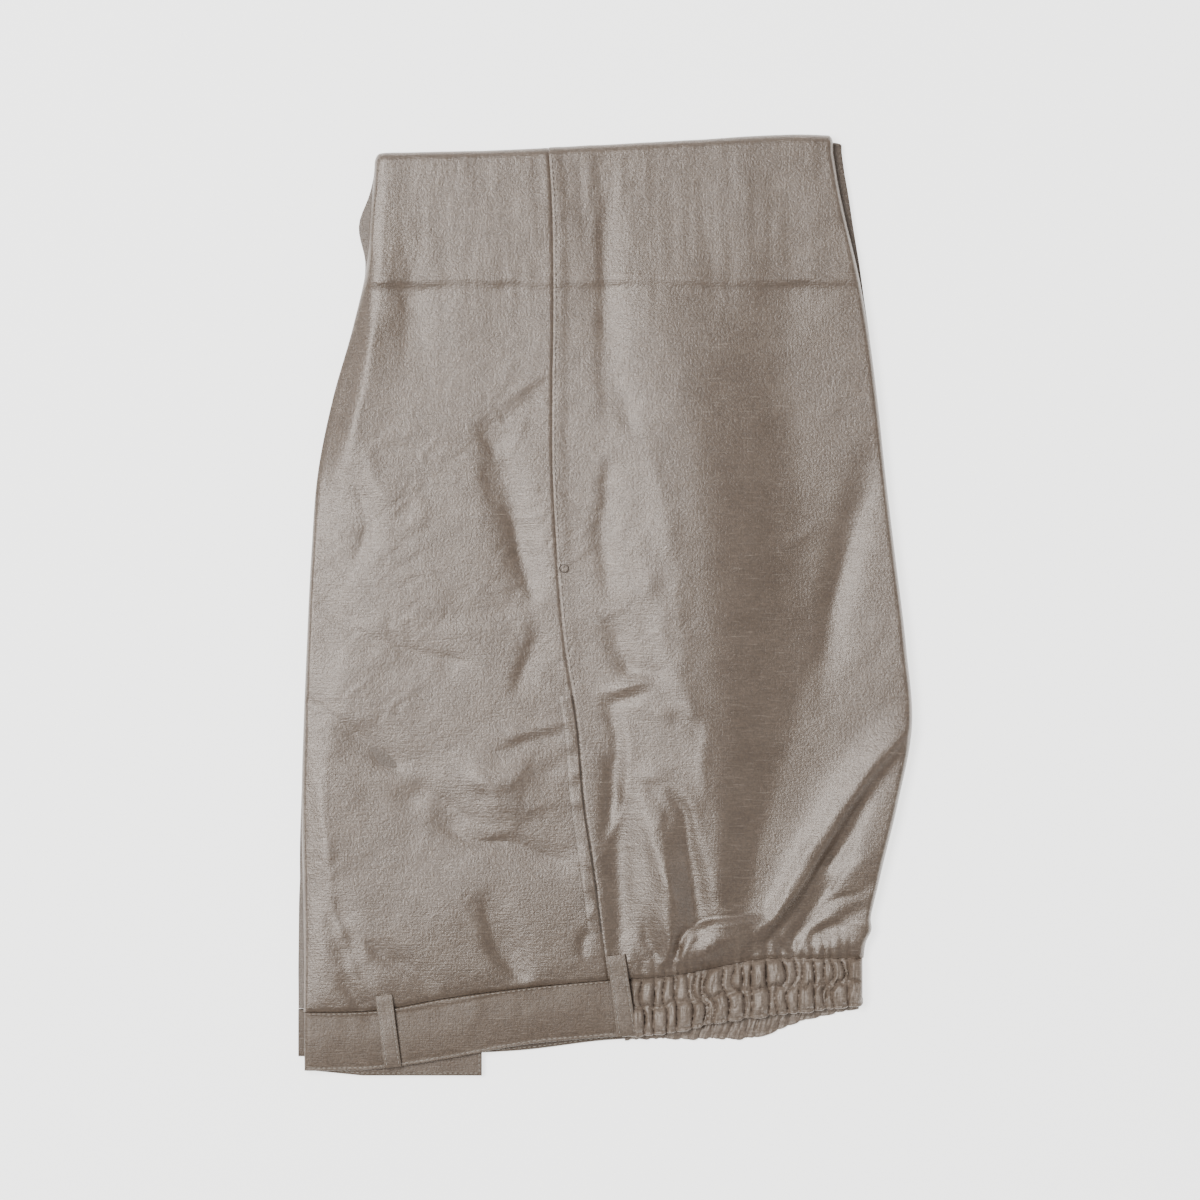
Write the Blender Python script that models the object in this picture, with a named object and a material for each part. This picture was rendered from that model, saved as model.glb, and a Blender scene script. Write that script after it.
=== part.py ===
# Boy's silk trousers, folded in half along the centre seams and then folded under at the knee.
# They lie flat, side seam up, with the waist towards -Y and the knee fold towards +Y.
# Units are metres. The origin is on the surface under the middle of the folded garment.

import bpy
import bmesh
import numpy as np

# Driving sizes
cloth = 0.0013              # wall of a leg panel, silk and lining together
gap = 0.00035               # space between two pieces that touch
band_width = 0.034          # waistband, top to bottom
band_wall = 0.0022          # interlined waistband
strip_wall = 0.0012         # belt loops and pocket edge
hem_y = -0.056              # where the folded-under legs end
roll_width = 0.006          # how far a side edge takes to turn down
rim_height = 0.0050         # height at which the turned-down edge of the upper leg ends
corner_pull = 0.0030        # rounding of the knee fold at its two ends
fold_radius = 0.0055        # the knee fold begins this far before its outermost line
joint_x = 0.0105            # side seam of the waistband, under the side belt loop
elastic_end = 0.1545        # centre back, where the elastic waistband is folded
gathers = 22                # gathers of the elastic waistband
elastic_wall = 0.0018       # gathered cloth, measured straight down
channel_puff = 0.0007       # how far each elastic channel bulges
under_band = 0.0026         # height of the lower waistband above the surface
tab_start, tab_end = -0.1752, -0.0735
tab_wall = 0.0018
lap_depth = 0.0016          # how far the grooves between the hidden layers go in

# Colours of the silk, as base colours
silk = (0.305, 0.254, 0.212)
silk_shade = (0.254, 0.205, 0.168)
band_silk = (0.262, 0.214, 0.178)
band_shade = (0.230, 0.186, 0.152)


def table(names, rows):
    """A short table with named columns."""
    values = np.array(rows, dtype=float)
    return {name: values[:, i] for i, name in enumerate(names.split())}


# Outline of the folded garment: one row for each section across it.
# under_left and under_right say how far the other leg shows past the upper one.
outline = table("y left seam right under_left under_right", (
    (-0.2784, -0.1797, 0.0105, 0.1530, 0.0040, -0.0010),
    (-0.2394, -0.1803, 0.0045, 0.1539, 0.0036, -0.0010),
    (-0.2064, -0.1803, 0.0000, 0.1557, 0.0030, -0.0010),
    (-0.1614, -0.1809, -0.0057, 0.1653, 0.0018, -0.0010),
    (-0.1164, -0.1815, -0.0123, 0.1761, 0.0006, -0.0010),
    (-0.0714, -0.1803, -0.0162, 0.1842, -0.0010, -0.0010),
    (-0.0264, -0.1785, -0.0237, 0.1809, -0.0010, -0.0010),
    (0.0336, -0.1755, -0.0291, 0.1737, -0.0010, -0.0010),
    (0.0786, -0.1719, -0.0315, 0.1683, -0.0010, -0.0010),
    (0.1236, -0.1629, -0.0318, 0.1635, -0.0010, -0.0010),
    (0.1686, -0.1503, -0.0312, 0.1575, -0.0008, 0.0002),
    (0.2046, -0.1425, -0.0312, 0.1509, 0.0006, 0.0015),
    (0.2286, -0.1410, -0.0315, 0.1452, 0.0058, 0.0033),
    (0.2466, -0.1392, -0.0322, 0.1413, 0.0012, 0.0046),
    (0.2712, -0.1371, -0.0339, 0.1371, -0.0010, 0.0052),
))

# Lines across the garment: waist seam, lower edge of the upper and of the under waistband
waist = table("x seam lower under_lower", (
    (-0.1845, -0.2430, -0.2784, -0.2700),
    (-0.1365, -0.2418, -0.2772, -0.2712),
    (-0.0951, -0.2346, -0.2712, -0.2688),
    (-0.0495, -0.2286, -0.2628, -0.2664),
    (0.0009, -0.2238, -0.2580, -0.2604),
    (0.0411, -0.2208, -0.2544, -0.2586),
    (0.0693, -0.2154, -0.2484, -0.2586),
    (0.0951, -0.2109, -0.2448, -0.2580),
    (0.1233, -0.2106, -0.2418, -0.2484),
    (0.1533, -0.2106, -0.2382, -0.2400),
))

# The knee fold at the far end
fold_line = table("x y", (
    (-0.1371, 0.2712),
    (-0.0603, 0.2730),
    (-0.0027, 0.2760),
    (0.0549, 0.2790),
    (0.1221, 0.2820),
    (0.1371, 0.2814),
))

# Lines along the upper leg: where the front stops rising, the top of the billow, the valley behind it
relief = table("y shoulder crest valley", (
    (-0.280, -0.1660, 0.0560, 0.0820),
    (-0.200, -0.1660, 0.0640, 0.0860),
    (-0.150, -0.1640, 0.0660, 0.0930),
    (-0.100, -0.1580, 0.0640, 0.1080),
    (-0.044, -0.1320, 0.0600, 0.1230),
    (0.030, -0.1240, 0.0560, 0.1220),
    (0.100, -0.1400, 0.0470, 0.1180),
    (0.180, -0.1360, 0.0390, 0.1080),
    (0.285, -0.1280, 0.0360, 0.0950),
))

# Height of the upper leg at each line, read along the garment from the waist seam (along = 0)
loft = table("along left shoulder front seam crest valley right", (
    (-0.036, 0.0074, 0.0075, 0.0076, 0.0078, 0.0076, 0.0075, 0.0072),
    (-0.018, 0.0084, 0.0085, 0.0086, 0.0088, 0.0088, 0.0087, 0.0084),
    (0.000, 0.0088, 0.0091, 0.0094, 0.0098, 0.0092, 0.0090, 0.0086),
    (0.009, 0.0094, 0.0104, 0.0110, 0.0112, 0.0118, 0.0110, 0.0102),
    (0.030, 0.0100, 0.0116, 0.0125, 0.0128, 0.0152, 0.0122, 0.0118),
    (0.090, 0.0104, 0.0122, 0.0132, 0.0138, 0.0188, 0.0120, 0.0126),
    (0.170, 0.0104, 0.0127, 0.0136, 0.0144, 0.0196, 0.0108, 0.0130),
    (0.240, 0.0104, 0.0128, 0.0137, 0.0146, 0.0196, 0.0106, 0.0124),
    (0.320, 0.0104, 0.0124, 0.0132, 0.0142, 0.0180, 0.0108, 0.0116),
    (0.390, 0.0106, 0.0120, 0.0124, 0.0130, 0.0152, 0.0114, 0.0116),
    (0.440, 0.0108, 0.0116, 0.0118, 0.0120, 0.0122, 0.0118, 0.0118),
    (0.520, 0.0106, 0.0112, 0.0112, 0.0112, 0.0114, 0.0114, 0.0114),
))

# Largest folds: a row for each point on the fold's line, with its half width and its height
fold_columns = "x y width height"
folds = {
    "back crease": (
        (0.1620, 0.1000, 0.008, -0.0004), (0.1480, 0.0500, 0.009, -0.0014),
        (0.1370, 0.0000, 0.009, -0.0016), (0.1310, -0.0380, 0.009, -0.0008)),
    "sweep to the elastic": (
        (0.1770, -0.0690, 0.011, 0.0026), (0.1500, -0.0980, 0.013, 0.0052),
        (0.1270, -0.1320, 0.012, 0.0056), (0.1090, -0.1640, 0.010, 0.0048),
        (0.0930, -0.1900, 0.008, 0.0024)),
    "lower trough": (
        (0.1640, -0.1020, 0.009, -0.0008), (0.1420, -0.1480, 0.009, -0.0030),
        (0.1200, -0.1900, 0.008, -0.0034)),
    "last trough": ((0.1560, -0.1884, 0.006, -0.0020), (0.1149, -0.2052, 0.006, -0.0026)),
    "overhang": (
        (0.0483, -0.2106, 0.009, 0.0020), (0.0690, -0.1990, 0.010, 0.0034),
        (0.0921, -0.1896, 0.009, 0.0020)),
    "gather by the side": ((0.0441, -0.1158, 0.008, -0.0006), (0.0550, -0.1878, 0.008, -0.0034)),
    "ridge by the side": ((0.0300, -0.1260, 0.009, 0.0014), (0.0340, -0.1960, 0.009, 0.0030)),
    "side trough": ((0.0076, -0.1128, 0.008, -0.0014), (0.0100, -0.2000, 0.008, -0.0022)),
    "trough by the side seam": (
        (0.0000, 0.2600, 0.009, -0.0003), (0.0010, 0.1950, 0.009, -0.0006),
        (0.0060, 0.1290, 0.010, -0.0004)),
    "front crease": (
        (-0.1300, 0.2436, 0.010, 0.0002), (-0.1330, 0.1998, 0.012, 0.0006),
        (-0.1400, 0.1446, 0.013, 0.0006), (-0.1540, 0.0894, 0.014, 0.0002)),
    "front trough": (
        (-0.0675, 0.1050, 0.010, -0.0006), (-0.0590, 0.0570, 0.010, -0.0020),
        (-0.0520, 0.0060, 0.010, -0.0008)),
    "front trough by the waist": ((-0.0700, -0.1788, 0.010, -0.0010), (-0.0520, -0.2150, 0.009, -0.0018)),
    "hip crease": (
        (-0.0957, -0.1320, 0.010, -0.0006), (-0.0600, -0.1420, 0.011, -0.0016),
        (-0.0260, -0.1520, 0.010, -0.0008)),
    "fly crease": ((-0.1635, -0.1740, 0.009, -0.0012), (-0.1430, -0.2370, 0.008, -0.0012)),
}

# Where the hem of the folded-under leg starts, has its side seam and ends
hem = {"left": -0.1200, "seam": -0.0200, "right": 0.1050}

# Layers at the side edges: how far down each point lies and how far out it reaches
laps = table("drop out", (
    (0.18, 0.0), (0.26, 1.0), (0.42, 1.0), (0.50, 0.0),
    (0.56, 0.8), (0.70, 0.8), (0.76, 0.1), (0.84, 0.6),
))
base_inset = np.array((0.0030, 0.0020, 0.0010))     # rounding of the solid's lower edges
hem_slope = 0.004           # length over which the inner layers come down past the hem

# Sections of the upper leg
front_columns = 10
back_columns = 14
panel_rows = 24
fold_steps = 5
under_rows = 4
roll_angles = np.radians((0.0, 35.0, 65.0, 90.0))
pocket_width = 0.0084       # stitched strip beside the side seam
pocket_top, pocket_bottom = -0.054, -0.195


def curve(keys, values, at):
    """A smooth line through the rows of a table, held at its ends."""
    at = np.clip(at, keys[0], keys[-1])
    slope = np.gradient(values, keys)
    i = np.clip(np.searchsorted(keys, at, side="right") - 1, 0, len(keys) - 2)
    step = keys[i + 1] - keys[i]
    t = (at - keys[i]) / step
    low = (1 + 2 * t) * (1 - t) ** 2 * values[i] + t * (1 - t) ** 2 * step * slope[i]
    high = t * t * (3 - 2 * t) * values[i + 1] + t * t * (t - 1) * step * slope[i + 1]
    return low + high


def edge(name, y):
    return curve(outline["y"], outline[name], y)


def waist_line(name, x):
    return curve(waist["x"], waist[name], x)


def fold_height(rows, x, y):
    """Height that one fold adds: a soft ridge or trough along its line."""
    points = table(fold_columns, rows)
    nearest = np.full(np.shape(x), 1e9)
    lift = np.zeros(np.shape(x))
    for i in range(len(rows) - 1):
        ax, ay = points["x"][i], points["y"][i]
        dx, dy = points["x"][i + 1] - ax, points["y"][i + 1] - ay
        t = np.clip(((x - ax) * dx + (y - ay) * dy) / (dx * dx + dy * dy), 0, 1)
        distance = np.hypot(x - ax - t * dx, y - ay - t * dy)
        width = points["width"][i] + t * (points["width"][i + 1] - points["width"][i])
        height = points["height"][i] + t * (points["height"][i + 1] - points["height"][i])
        closer = distance < nearest
        nearest = np.where(closer, distance, nearest)
        lift = np.where(closer, height * np.exp(-(distance / width) ** 2), lift)
    return lift


def across_curve(places, levels, at):
    """A smooth line through levels whose places differ from point to point."""
    places, levels = np.array(np.broadcast_arrays(*places)), np.array(levels)
    slope = np.zeros_like(levels)
    slope[1:-1] = (levels[2:] - levels[:-2]) / (places[2:] - places[:-2])
    slope[0] = (levels[1] - levels[0]) / (places[1] - places[0])
    slope[-1] = (levels[-1] - levels[-2]) / (places[-1] - places[-2])
    i = np.clip((at >= places).sum(axis=0) - 1, 0, len(places) - 2)[None]
    start, end = np.take_along_axis(places, i, 0)[0], np.take_along_axis(places, i + 1, 0)[0]
    step = end - start
    t = np.clip((at - start) / step, 0, 1)
    low = (1 + 2 * t) * (1 - t) ** 2 * np.take_along_axis(levels, i, 0)[0]
    low = low + t * (1 - t) ** 2 * step * np.take_along_axis(slope, i, 0)[0]
    high = t * t * (3 - 2 * t) * np.take_along_axis(levels, i + 1, 0)[0]
    return low + high + t * t * (t - 1) * step * np.take_along_axis(slope, i + 1, 0)[0]


def height(x, y):
    """Height of the cloth's outer side above the surface, away from its turned-down edges."""
    left, seam, right = edge("left", y), edge("seam", y), edge("right", y)
    shoulder, crest, valley = (curve(relief["y"], relief[name], y) for name in ("shoulder", "crest", "valley"))
    places = [left, shoulder, 0.5 * (shoulder + seam), seam, crest, valley, right]
    along = y - waist_line("seam", x)
    names = ("left", "shoulder", "front", "seam", "crest", "valley", "right")
    base = across_curve(places, [curve(loft["along"], loft[name], along) for name in names], x)
    for rows in folds.values():
        base = base + fold_height(rows, x, y)
    return base


def leg_columns():
    """Places across the upper leg: turned-down edge, front, pocket edge, side seam, back, edge."""
    roll = 1 - np.cos(roll_angles)
    front = [("left", roll_width * r, a) for r, a in zip(roll, roll_angles)]
    front += [("front", (i + 1) / (front_columns + 1), None) for i in range(front_columns)]
    front += [("pocket", 0, None), ("seam", 0, None)]
    back = [("back", (i + 1) / (back_columns + 1), None) for i in range(back_columns)]
    back += [("right", roll_width * r, a) for r, a in reversed(list(zip(roll, roll_angles)))]
    return front + back, len(front) - 1


def column_x(column, y):
    kind, value, _ = column
    left, seam, right = edge("left", y), edge("seam", y), edge("right", y)
    if kind == "left":
        return left + value
    if kind == "right":
        return right - value
    if kind == "front":
        return left + roll_width + value * (seam - pocket_width - left - roll_width)
    if kind == "back":
        return seam + value * (right - roll_width - seam)
    return seam - (pocket_width if kind == "pocket" else 0)


def leg_grid():
    """Outer side of the upper leg: from the waist seam over the top, round the fold, to the hem."""
    columns, seam_index = leg_columns()
    along = (np.arange(panel_rows + 1) / panel_rows) ** 1.35
    turns = np.radians(np.linspace(0, 180, fold_steps + 1))[1:]
    grid = np.zeros((panel_rows + 1 + fold_steps + under_rows, len(columns), 3))
    for c, column in enumerate(columns):
        roll = 1 - np.sin(column[2]) if column[2] is not None else 0
        x = column_x(column, np.zeros(panel_rows + 1))
        for _ in range(6):
            fold_y = curve(fold_line["x"], fold_line["y"], x) - corner_pull * roll
            start = waist_line("seam", x)
            y = start + along * (fold_y - fold_radius - start)
            x = column_x(column, y)
        z = height(x, y)
        z = rim_height + (z - rim_height) * (1 - roll)
        grid[:panel_rows + 1, c] = np.stack((x, y, z), axis=-1)
        radius = z[-1] / 2
        share = under_share(x[-1], y[-1])
        for i, turn in enumerate(turns):
            grid[panel_rows + 1 + i, c] = (x[-1], y[-1] + radius * np.sin(turn), radius * (1 + np.cos(turn)))
        for i in range(under_rows):
            low_y = y[-1] + (hem_y - y[-1]) * (i + 1) / under_rows
            grid[panel_rows + 1 + fold_steps + i, c] = (under_x(share, low_y, y[-1]), low_y, 0)
    return grid, seam_index


def under_share(x, y):
    """Where a point at the fold lies: 0 at the left edge, 1 at the side seam, 2 at the right edge."""
    left, seam, right = edge("left", y), edge("seam", y), edge("right", y)
    return (x - left) / (seam - left) if x < seam else 1 + (x - seam) / (right - seam)


def under_x(share, y, fold_y):
    """Place of the same point under the garment, where the leg narrows towards its hem."""
    t = (fold_y - y) / (fold_y - hem_y)
    sides = [(1 - t) * edge(name, fold_y) + t * hem[name] for name in ("left", "seam", "right")]
    i = 0 if share < 1 else 1
    return sides[i] + (share - i) * (sides[i + 1] - sides[i])


def grid_normals(grid):
    """Outward direction at each point of a sheet, from its neighbours."""
    along = np.gradient(grid, axis=0)
    across = np.gradient(grid, axis=1)
    normal = np.cross(across, along)
    return normal / np.linalg.norm(normal, axis=-1, keepdims=True)


def new_object(name, verts, faces, colour):
    mesh = bpy.data.meshes.new(name)
    mesh.from_pydata([tuple(v) for v in verts], [], faces)
    mesh.validate()
    body = bmesh.new()
    body.from_mesh(mesh)
    bmesh.ops.recalc_face_normals(body, faces=body.faces)
    body.to_mesh(mesh)
    body.free()
    mesh.shade_smooth()
    mesh.set_sharp_from_angle(angle=np.radians(50))
    piece = bpy.data.objects.new(name, mesh)
    garment.objects.link(piece)
    material = bpy.data.materials.new(name)
    material.use_nodes = True
    shader = material.node_tree.nodes["Principled BSDF"]
    shader.inputs["Base Color"].default_value = (*colour, 1.0)
    shader.inputs["Roughness"].default_value = 0.48
    shader.inputs["Metallic"].default_value = 0.0
    mesh.materials.append(material)
    return piece


def wall(name, outer, inner, colour):
    """A closed wall between two sheets with the same rows and columns."""
    rows, columns = outer.shape[:2]
    count = rows * columns

    def at(r, c, side):
        return side * count + r * columns + c

    faces = []
    for r in range(rows - 1):
        for c in range(columns - 1):
            faces.append((at(r, c, 0), at(r, c + 1, 0), at(r + 1, c + 1, 0), at(r + 1, c, 0)))
            faces.append((at(r, c, 1), at(r + 1, c, 1), at(r + 1, c + 1, 1), at(r, c + 1, 1)))
    for r in range(rows - 1):
        for c in (0, columns - 1):
            faces.append((at(r, c, 0), at(r + 1, c, 0), at(r + 1, c, 1), at(r, c, 1)))
    for c in range(columns - 1):
        for r in (0, rows - 1):
            faces.append((at(r, c, 0), at(r, c, 1), at(r, c + 1, 1), at(r, c + 1, 0)))
    verts = np.concatenate((outer.reshape(-1, 3), inner.reshape(-1, 3)))
    return new_object(name, verts, faces, colour)


def make_panels(grid, normals, seam_index):
    """Front and back of the upper leg, parted at the side seam."""
    inner = grid - normals * cloth
    shift = np.array((gap / 2, 0, 0))
    front = slice(0, seam_index + 1)
    back = slice(seam_index, grid.shape[1])
    for name, part, at_seam, move in (("front_panel", front, -1, -shift), ("back_panel", back, 0, shift)):
        outside, inside = grid[:, part].copy(), inner[:, part].copy()
        outside[:, at_seam] += move
        inside[:, at_seam] += move
        wall(name, outside, inside, silk)


def make_other_leg(grid, normals):
    """The other leg and all hidden layers: one rounded solid, layered along both sides."""
    inset = grid - normals * (cloth + gap)
    rings = []
    first_above_hem = int(np.argmax(grid[:panel_rows + 1, 0, 1] > hem_y))
    for r in range(panel_rows + fold_steps // 2 + 1):
        top = inset[r].copy()
        if r < panel_rows:
            low = grid[r].copy()
            low[:, 2] = 0.0 if r < first_above_hem else cloth + gap
            if r == first_above_hem:
                low[:, 1] = hem_y - gap
            if r == first_above_hem - 1:
                low[:, 1] = hem_y - hem_slope
            fade = 1.0
        else:
            low = inset[2 * panel_rows + fold_steps - r].copy()
            fade = np.cos(np.pi * (r - panel_rows) / fold_steps)
        low[:3, 0] = low[3, 0] - base_inset
        low[-3:, 0] = low[-4, 0] + base_inset[::-1]
        sides = []
        for end, sign, name, under in ((-1, 1, "right", "under_right"), (0, -1, "left", "under_left")):
            drop = laps["drop"][:, None]
            points = top[end] + drop * (low[end] - top[end])
            reach = edge(name, top[end][1]) + sign * edge(under, top[end][1])
            inside = top[end][0] - sign * lap_depth * fade
            outside = top[end][0] + (reach - top[end][0]) * fade
            points[:, 0] = inside + (outside - inside) * laps["out"]
            sides.append(points)
        rings.append(np.concatenate((top, sides[0], low[::-1], sides[1][::-1])))
    loft_solid("other_leg", np.array(rings), grid.shape[1], len(laps["drop"]), silk_shade)


def loft_solid(name, rings, across, sides, colour):
    """A closed solid through rings; each ring has a top, a lapped side, a base and a lapped side."""
    count, size = rings.shape[:2]
    faces = []
    for r in range(count - 1):
        for i in range(size):
            j = (i + 1) % size
            faces.append((r * size + i, r * size + j, (r + 1) * size + j, (r + 1) * size + i))
    for r in (0, count - 1):
        base = r * size
        for i in range(across - 1):
            low = base + 2 * across + sides - 1 - i
            faces.append((base + i, base + i + 1, low - 1, low))
        faces.append(tuple(base + i for i in range(across - 1, across + sides + 1)))
        faces.append(tuple(base + i for i in range(2 * across + sides - 1, size)) + (base,))
    new_object(name, rings.reshape(-1, 3), faces, colour)


def band_sheet(start_x, end_x, columns, rows, lower, roll):
    """Points of a waistband from the waist seam to its lower edge, seen from above."""
    sheet = np.zeros((rows, columns, 3))
    spots = np.linspace(start_x, end_x, columns)
    if roll:
        spots = np.concatenate((start_x + roll_width * (1 - np.cos(roll_angles)),
                                np.linspace(start_x + roll_width, end_x, columns - 3)[1:]))
    for r in range(rows):
        top = waist_line("seam", spots) - gap
        y = top + (waist_line(lower, spots) - top) * r / (rows - 1)
        sheet[r] = np.stack((spots, y, height(spots, y)), axis=-1)
    return sheet[::-1]


def make_front_bands():
    """The flat half of the waistband on the upper side, and the one beneath it."""
    left = edge("left", np.array(-0.26))
    upper = band_sheet(left, joint_x - gap / 2, 17, 5, "lower", True)
    for c, angle in enumerate(roll_angles):
        upper[:, c, 2] = rim_height + (upper[:, c, 2] - rim_height) * np.sin(angle)
    wall("waistband_front", upper, upper - grid_normals(upper) * band_wall, band_silk)
    under = band_sheet(left - 0.0038, joint_x - gap / 2, 9, 3, "under_lower", False)
    under[:, :, 2] = under_band
    flat = under.copy()
    flat[:, :, 2] = 0
    wall("waistband_front_under", under, flat, band_silk)


def gathered(x, level, swing, down):
    """Height of gathered cloth: uneven waves between the stitched rows that hold it down."""
    share = (x - joint_x) / (elastic_end - joint_x)
    turn = 2 * np.pi * gathers * share
    uneven = 0.5 * np.sin(turn * 0.37 + 1.0) + 0.7 * np.sin(turn * 0.11)
    fade = np.clip((x - joint_x - 0.010) / 0.006, 0, 1)
    return level + swing * (0.8 + 0.2 * np.sin(turn * 0.23)) * np.cos(turn + uneven + 0.6 * down) * fade


def make_elastic(name, level, swing, lower, waves_per, shift):
    """A gathered half of the waistband with two elastic channels."""
    columns = gathers * waves_per + 1
    rows = (0.0, 0.10, 0.26, 0.45, 0.55, 0.75, 0.92, 1.0)
    hold = (0.55, 0.80, 1.00, 0.70, 0.70, 1.00, 0.90, 0.60)
    puff = (0.0, 0.4, 1.0, 0.2, 0.2, 1.0, 0.6, 0.0)
    x = np.linspace(joint_x + gap / 2, elastic_end + shift, columns)
    outer = np.zeros((len(rows), columns, 3))
    for r, (down, held, lift) in enumerate(zip(rows, hold, puff)):
        top = waist_line("seam", x) - gap
        y = top + (waist_line(lower, x) - top) * down
        z = gathered(x, level + channel_puff * lift, swing * held, down)
        outer[r] = np.stack((x, y, z), axis=-1)
    outer = outer[::-1]
    inner = outer - np.array((0, 0, elastic_wall))
    wall(name, outer, inner, band_shade)


def make_tab():
    """Extension of the waistband at the centre front, lying between the two bands."""
    lengths = np.linspace(tab_start, tab_end, 8)
    sheet = np.zeros((3, len(lengths), 3))
    for r in range(3):
        lower = -0.2784 - 0.0030 * np.clip((lengths - tab_start) / 0.03, 0, 1)
        y = lower + band_width * 0.94 * r / 2
        sheet[r] = np.stack((lengths, y, np.full(len(lengths), under_band + gap + tab_wall)), axis=-1)
    lower_side = sheet - np.array((0, 0, tab_wall))
    wall("waistband_tab", sheet, lower_side, band_silk)


def make_strip(name, top_left, bottom_left, width_top, width_bottom, rows, bow):
    """A belt loop: a strip that lies on the cloth, a little raised in the middle."""
    sheet = np.zeros((rows, 4, 3))
    for r in range(rows):
        t = r / (rows - 1)
        left = np.array(bottom_left) + t * (np.array(top_left) - np.array(bottom_left))
        width = width_bottom + t * (width_top - width_bottom)
        x = left[0] + width * np.linspace(0, 1, 4)
        y = left[1] + 0.12 * (x - left[0])
        seat = height(x, y).max() + gap + bow * np.sin(np.pi * t)
        sheet[r] = np.stack((x, y, np.full(4, seat + strip_wall)), axis=-1)
    wall(name, sheet, sheet - np.array((0, 0, strip_wall)), band_silk)


def make_pocket_edge(grid, normals, seam_index):
    """The stitched pocket edge, made from the front panel's points, moved out."""
    lines = grid[:panel_rows, seam_index, 1]
    first, last = np.argmin(abs(lines - pocket_bottom)), np.argmin(abs(lines - pocket_top))
    part = slice(first, last + 1), slice(seam_index - 1, seam_index + 1)
    seat = grid[part] + normals[part] * gap
    seat[:, 1, 0] -= 0.0008
    wall("pocket_edge", seat + normals[part] * strip_wall, seat, silk)


for old in list(bpy.data.objects):
    bpy.data.objects.remove(old, do_unlink=True)
garment = bpy.data.collections.new("folded_trousers")
bpy.context.scene.collection.children.link(garment)

leg, seam_column = leg_grid()
leg_normals = grid_normals(leg)
make_panels(leg, leg_normals, seam_column)
make_other_leg(leg, leg_normals)
make_pocket_edge(leg, leg_normals, seam_column)
make_front_bands()
make_elastic("waistband_back", 0.0076, 0.0014, "lower", 4, 0.0)
make_elastic("waistband_back_under", 0.0032, 0.0009, "under_lower", 3, -0.0015)
make_tab()
make_strip("belt_loop_front", (-0.1371, -0.2334), (-0.1317, -0.2766), 0.0102, 0.0102, 7, 0.0005)
make_strip("belt_loop_side", (0.0015, -0.2094), (0.0075, -0.2578), 0.0108, 0.0120, 8, 0.0005)
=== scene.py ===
import math
import bpy
import bmesh
import numpy as np
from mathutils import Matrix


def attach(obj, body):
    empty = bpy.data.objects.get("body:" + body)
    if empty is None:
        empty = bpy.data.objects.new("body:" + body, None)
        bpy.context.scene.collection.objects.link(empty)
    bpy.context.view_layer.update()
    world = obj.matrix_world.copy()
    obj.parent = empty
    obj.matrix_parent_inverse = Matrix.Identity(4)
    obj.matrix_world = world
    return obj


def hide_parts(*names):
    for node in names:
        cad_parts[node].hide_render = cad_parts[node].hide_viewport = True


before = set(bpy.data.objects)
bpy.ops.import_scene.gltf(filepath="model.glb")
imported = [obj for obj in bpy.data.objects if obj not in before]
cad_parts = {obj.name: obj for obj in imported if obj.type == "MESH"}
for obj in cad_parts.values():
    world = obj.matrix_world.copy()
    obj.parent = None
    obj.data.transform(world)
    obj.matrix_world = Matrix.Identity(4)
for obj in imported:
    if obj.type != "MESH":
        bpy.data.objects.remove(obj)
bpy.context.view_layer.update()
mm = 0.001  # the tables of lines and folds are in millimetres
print("frame loaded")


# camera, floor and lights

studio = {
    "eyeHeight": 3.0, "viewWidth": 0.72, "sensor": 36.0, "aimX": -0.0027, "aimY": 0.0036,
    "floorSize": 9.0, "floorColour": (0.92, 0.92, 0.915), "floorGlow": 2.0,
    "skyStrength": 0.45, "lampDistance": 3.1,
}
softboxes = {
    "mainSoftbox": {"power": 112.0, "size": (1.15, 1.9), "tilt": 26.0, "turn": 162.0},
    "sideSoftbox": {"power": 9.0, "size": (0.8, 1.4), "tilt": 62.0, "turn": -6.0},
    "farSoftbox": {"power": 6.0, "size": (0.8, 1.4), "tilt": 62.0, "turn": 88.0},
}


def setInputs(node, values):
    for name, value in values.items():
        node.inputs[name].default_value = value


def newMaterial(name):
    made = bpy.data.materials.new(name)
    made.use_nodes = True
    return made, made.node_tree.nodes["Principled BSDF"]


def addObject(name, data):
    made = bpy.data.objects.new(name, data)
    bpy.context.scene.collection.objects.link(made)
    return made


def aimLamp(name, power, size, tilt, turn):
    data = bpy.data.lights.new(name, "AREA")
    data.shape = "RECTANGLE"
    data.size, data.size_y = size
    data.energy = power
    lamp = addObject(name, data)
    lean, spin, distance = math.radians(tilt), math.radians(turn), studio["lampDistance"]
    lamp.location = (distance * math.sin(lean) * math.cos(spin),
                     distance * math.sin(lean) * math.sin(spin), distance * math.cos(lean))
    lamp.rotation_euler = (0, lean, spin)


def setStudio():
    eye = bpy.data.cameras.new("photoCamera")
    eye.sensor_width = studio["sensor"]
    eye.lens = studio["sensor"] * studio["eyeHeight"] / studio["viewWidth"]
    camera = addObject("photoCamera", eye)
    camera.location = (studio["aimX"], studio["aimY"], studio["eyeHeight"])
    bpy.context.scene.camera = camera
    bpy.ops.mesh.primitive_plane_add(size=studio["floorSize"], location=(0, 0, -0.0002))
    floor = bpy.context.object
    floor.name = "studioFloor"
    paper, shader = newMaterial("palePaper")
    setInputs(shader, {
        "Base Color": (*studio["floorColour"], 1), "Roughness": 0.9, "Specular IOR Level": 0.1,
        "Emission Color": (1, 1, 0.99, 1), "Emission Strength": studio["floorGlow"],
    })
    floor.data.materials.append(paper)
    sky = bpy.data.worlds.new("softSky")
    sky.use_nodes = True
    setInputs(sky.node_tree.nodes["Background"], {"Color": (1, 1, 1, 1), "Strength": studio["skyStrength"]})
    bpy.context.scene.world = sky
    for name, box in softboxes.items():
        aimLamp(name, **box)


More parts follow.
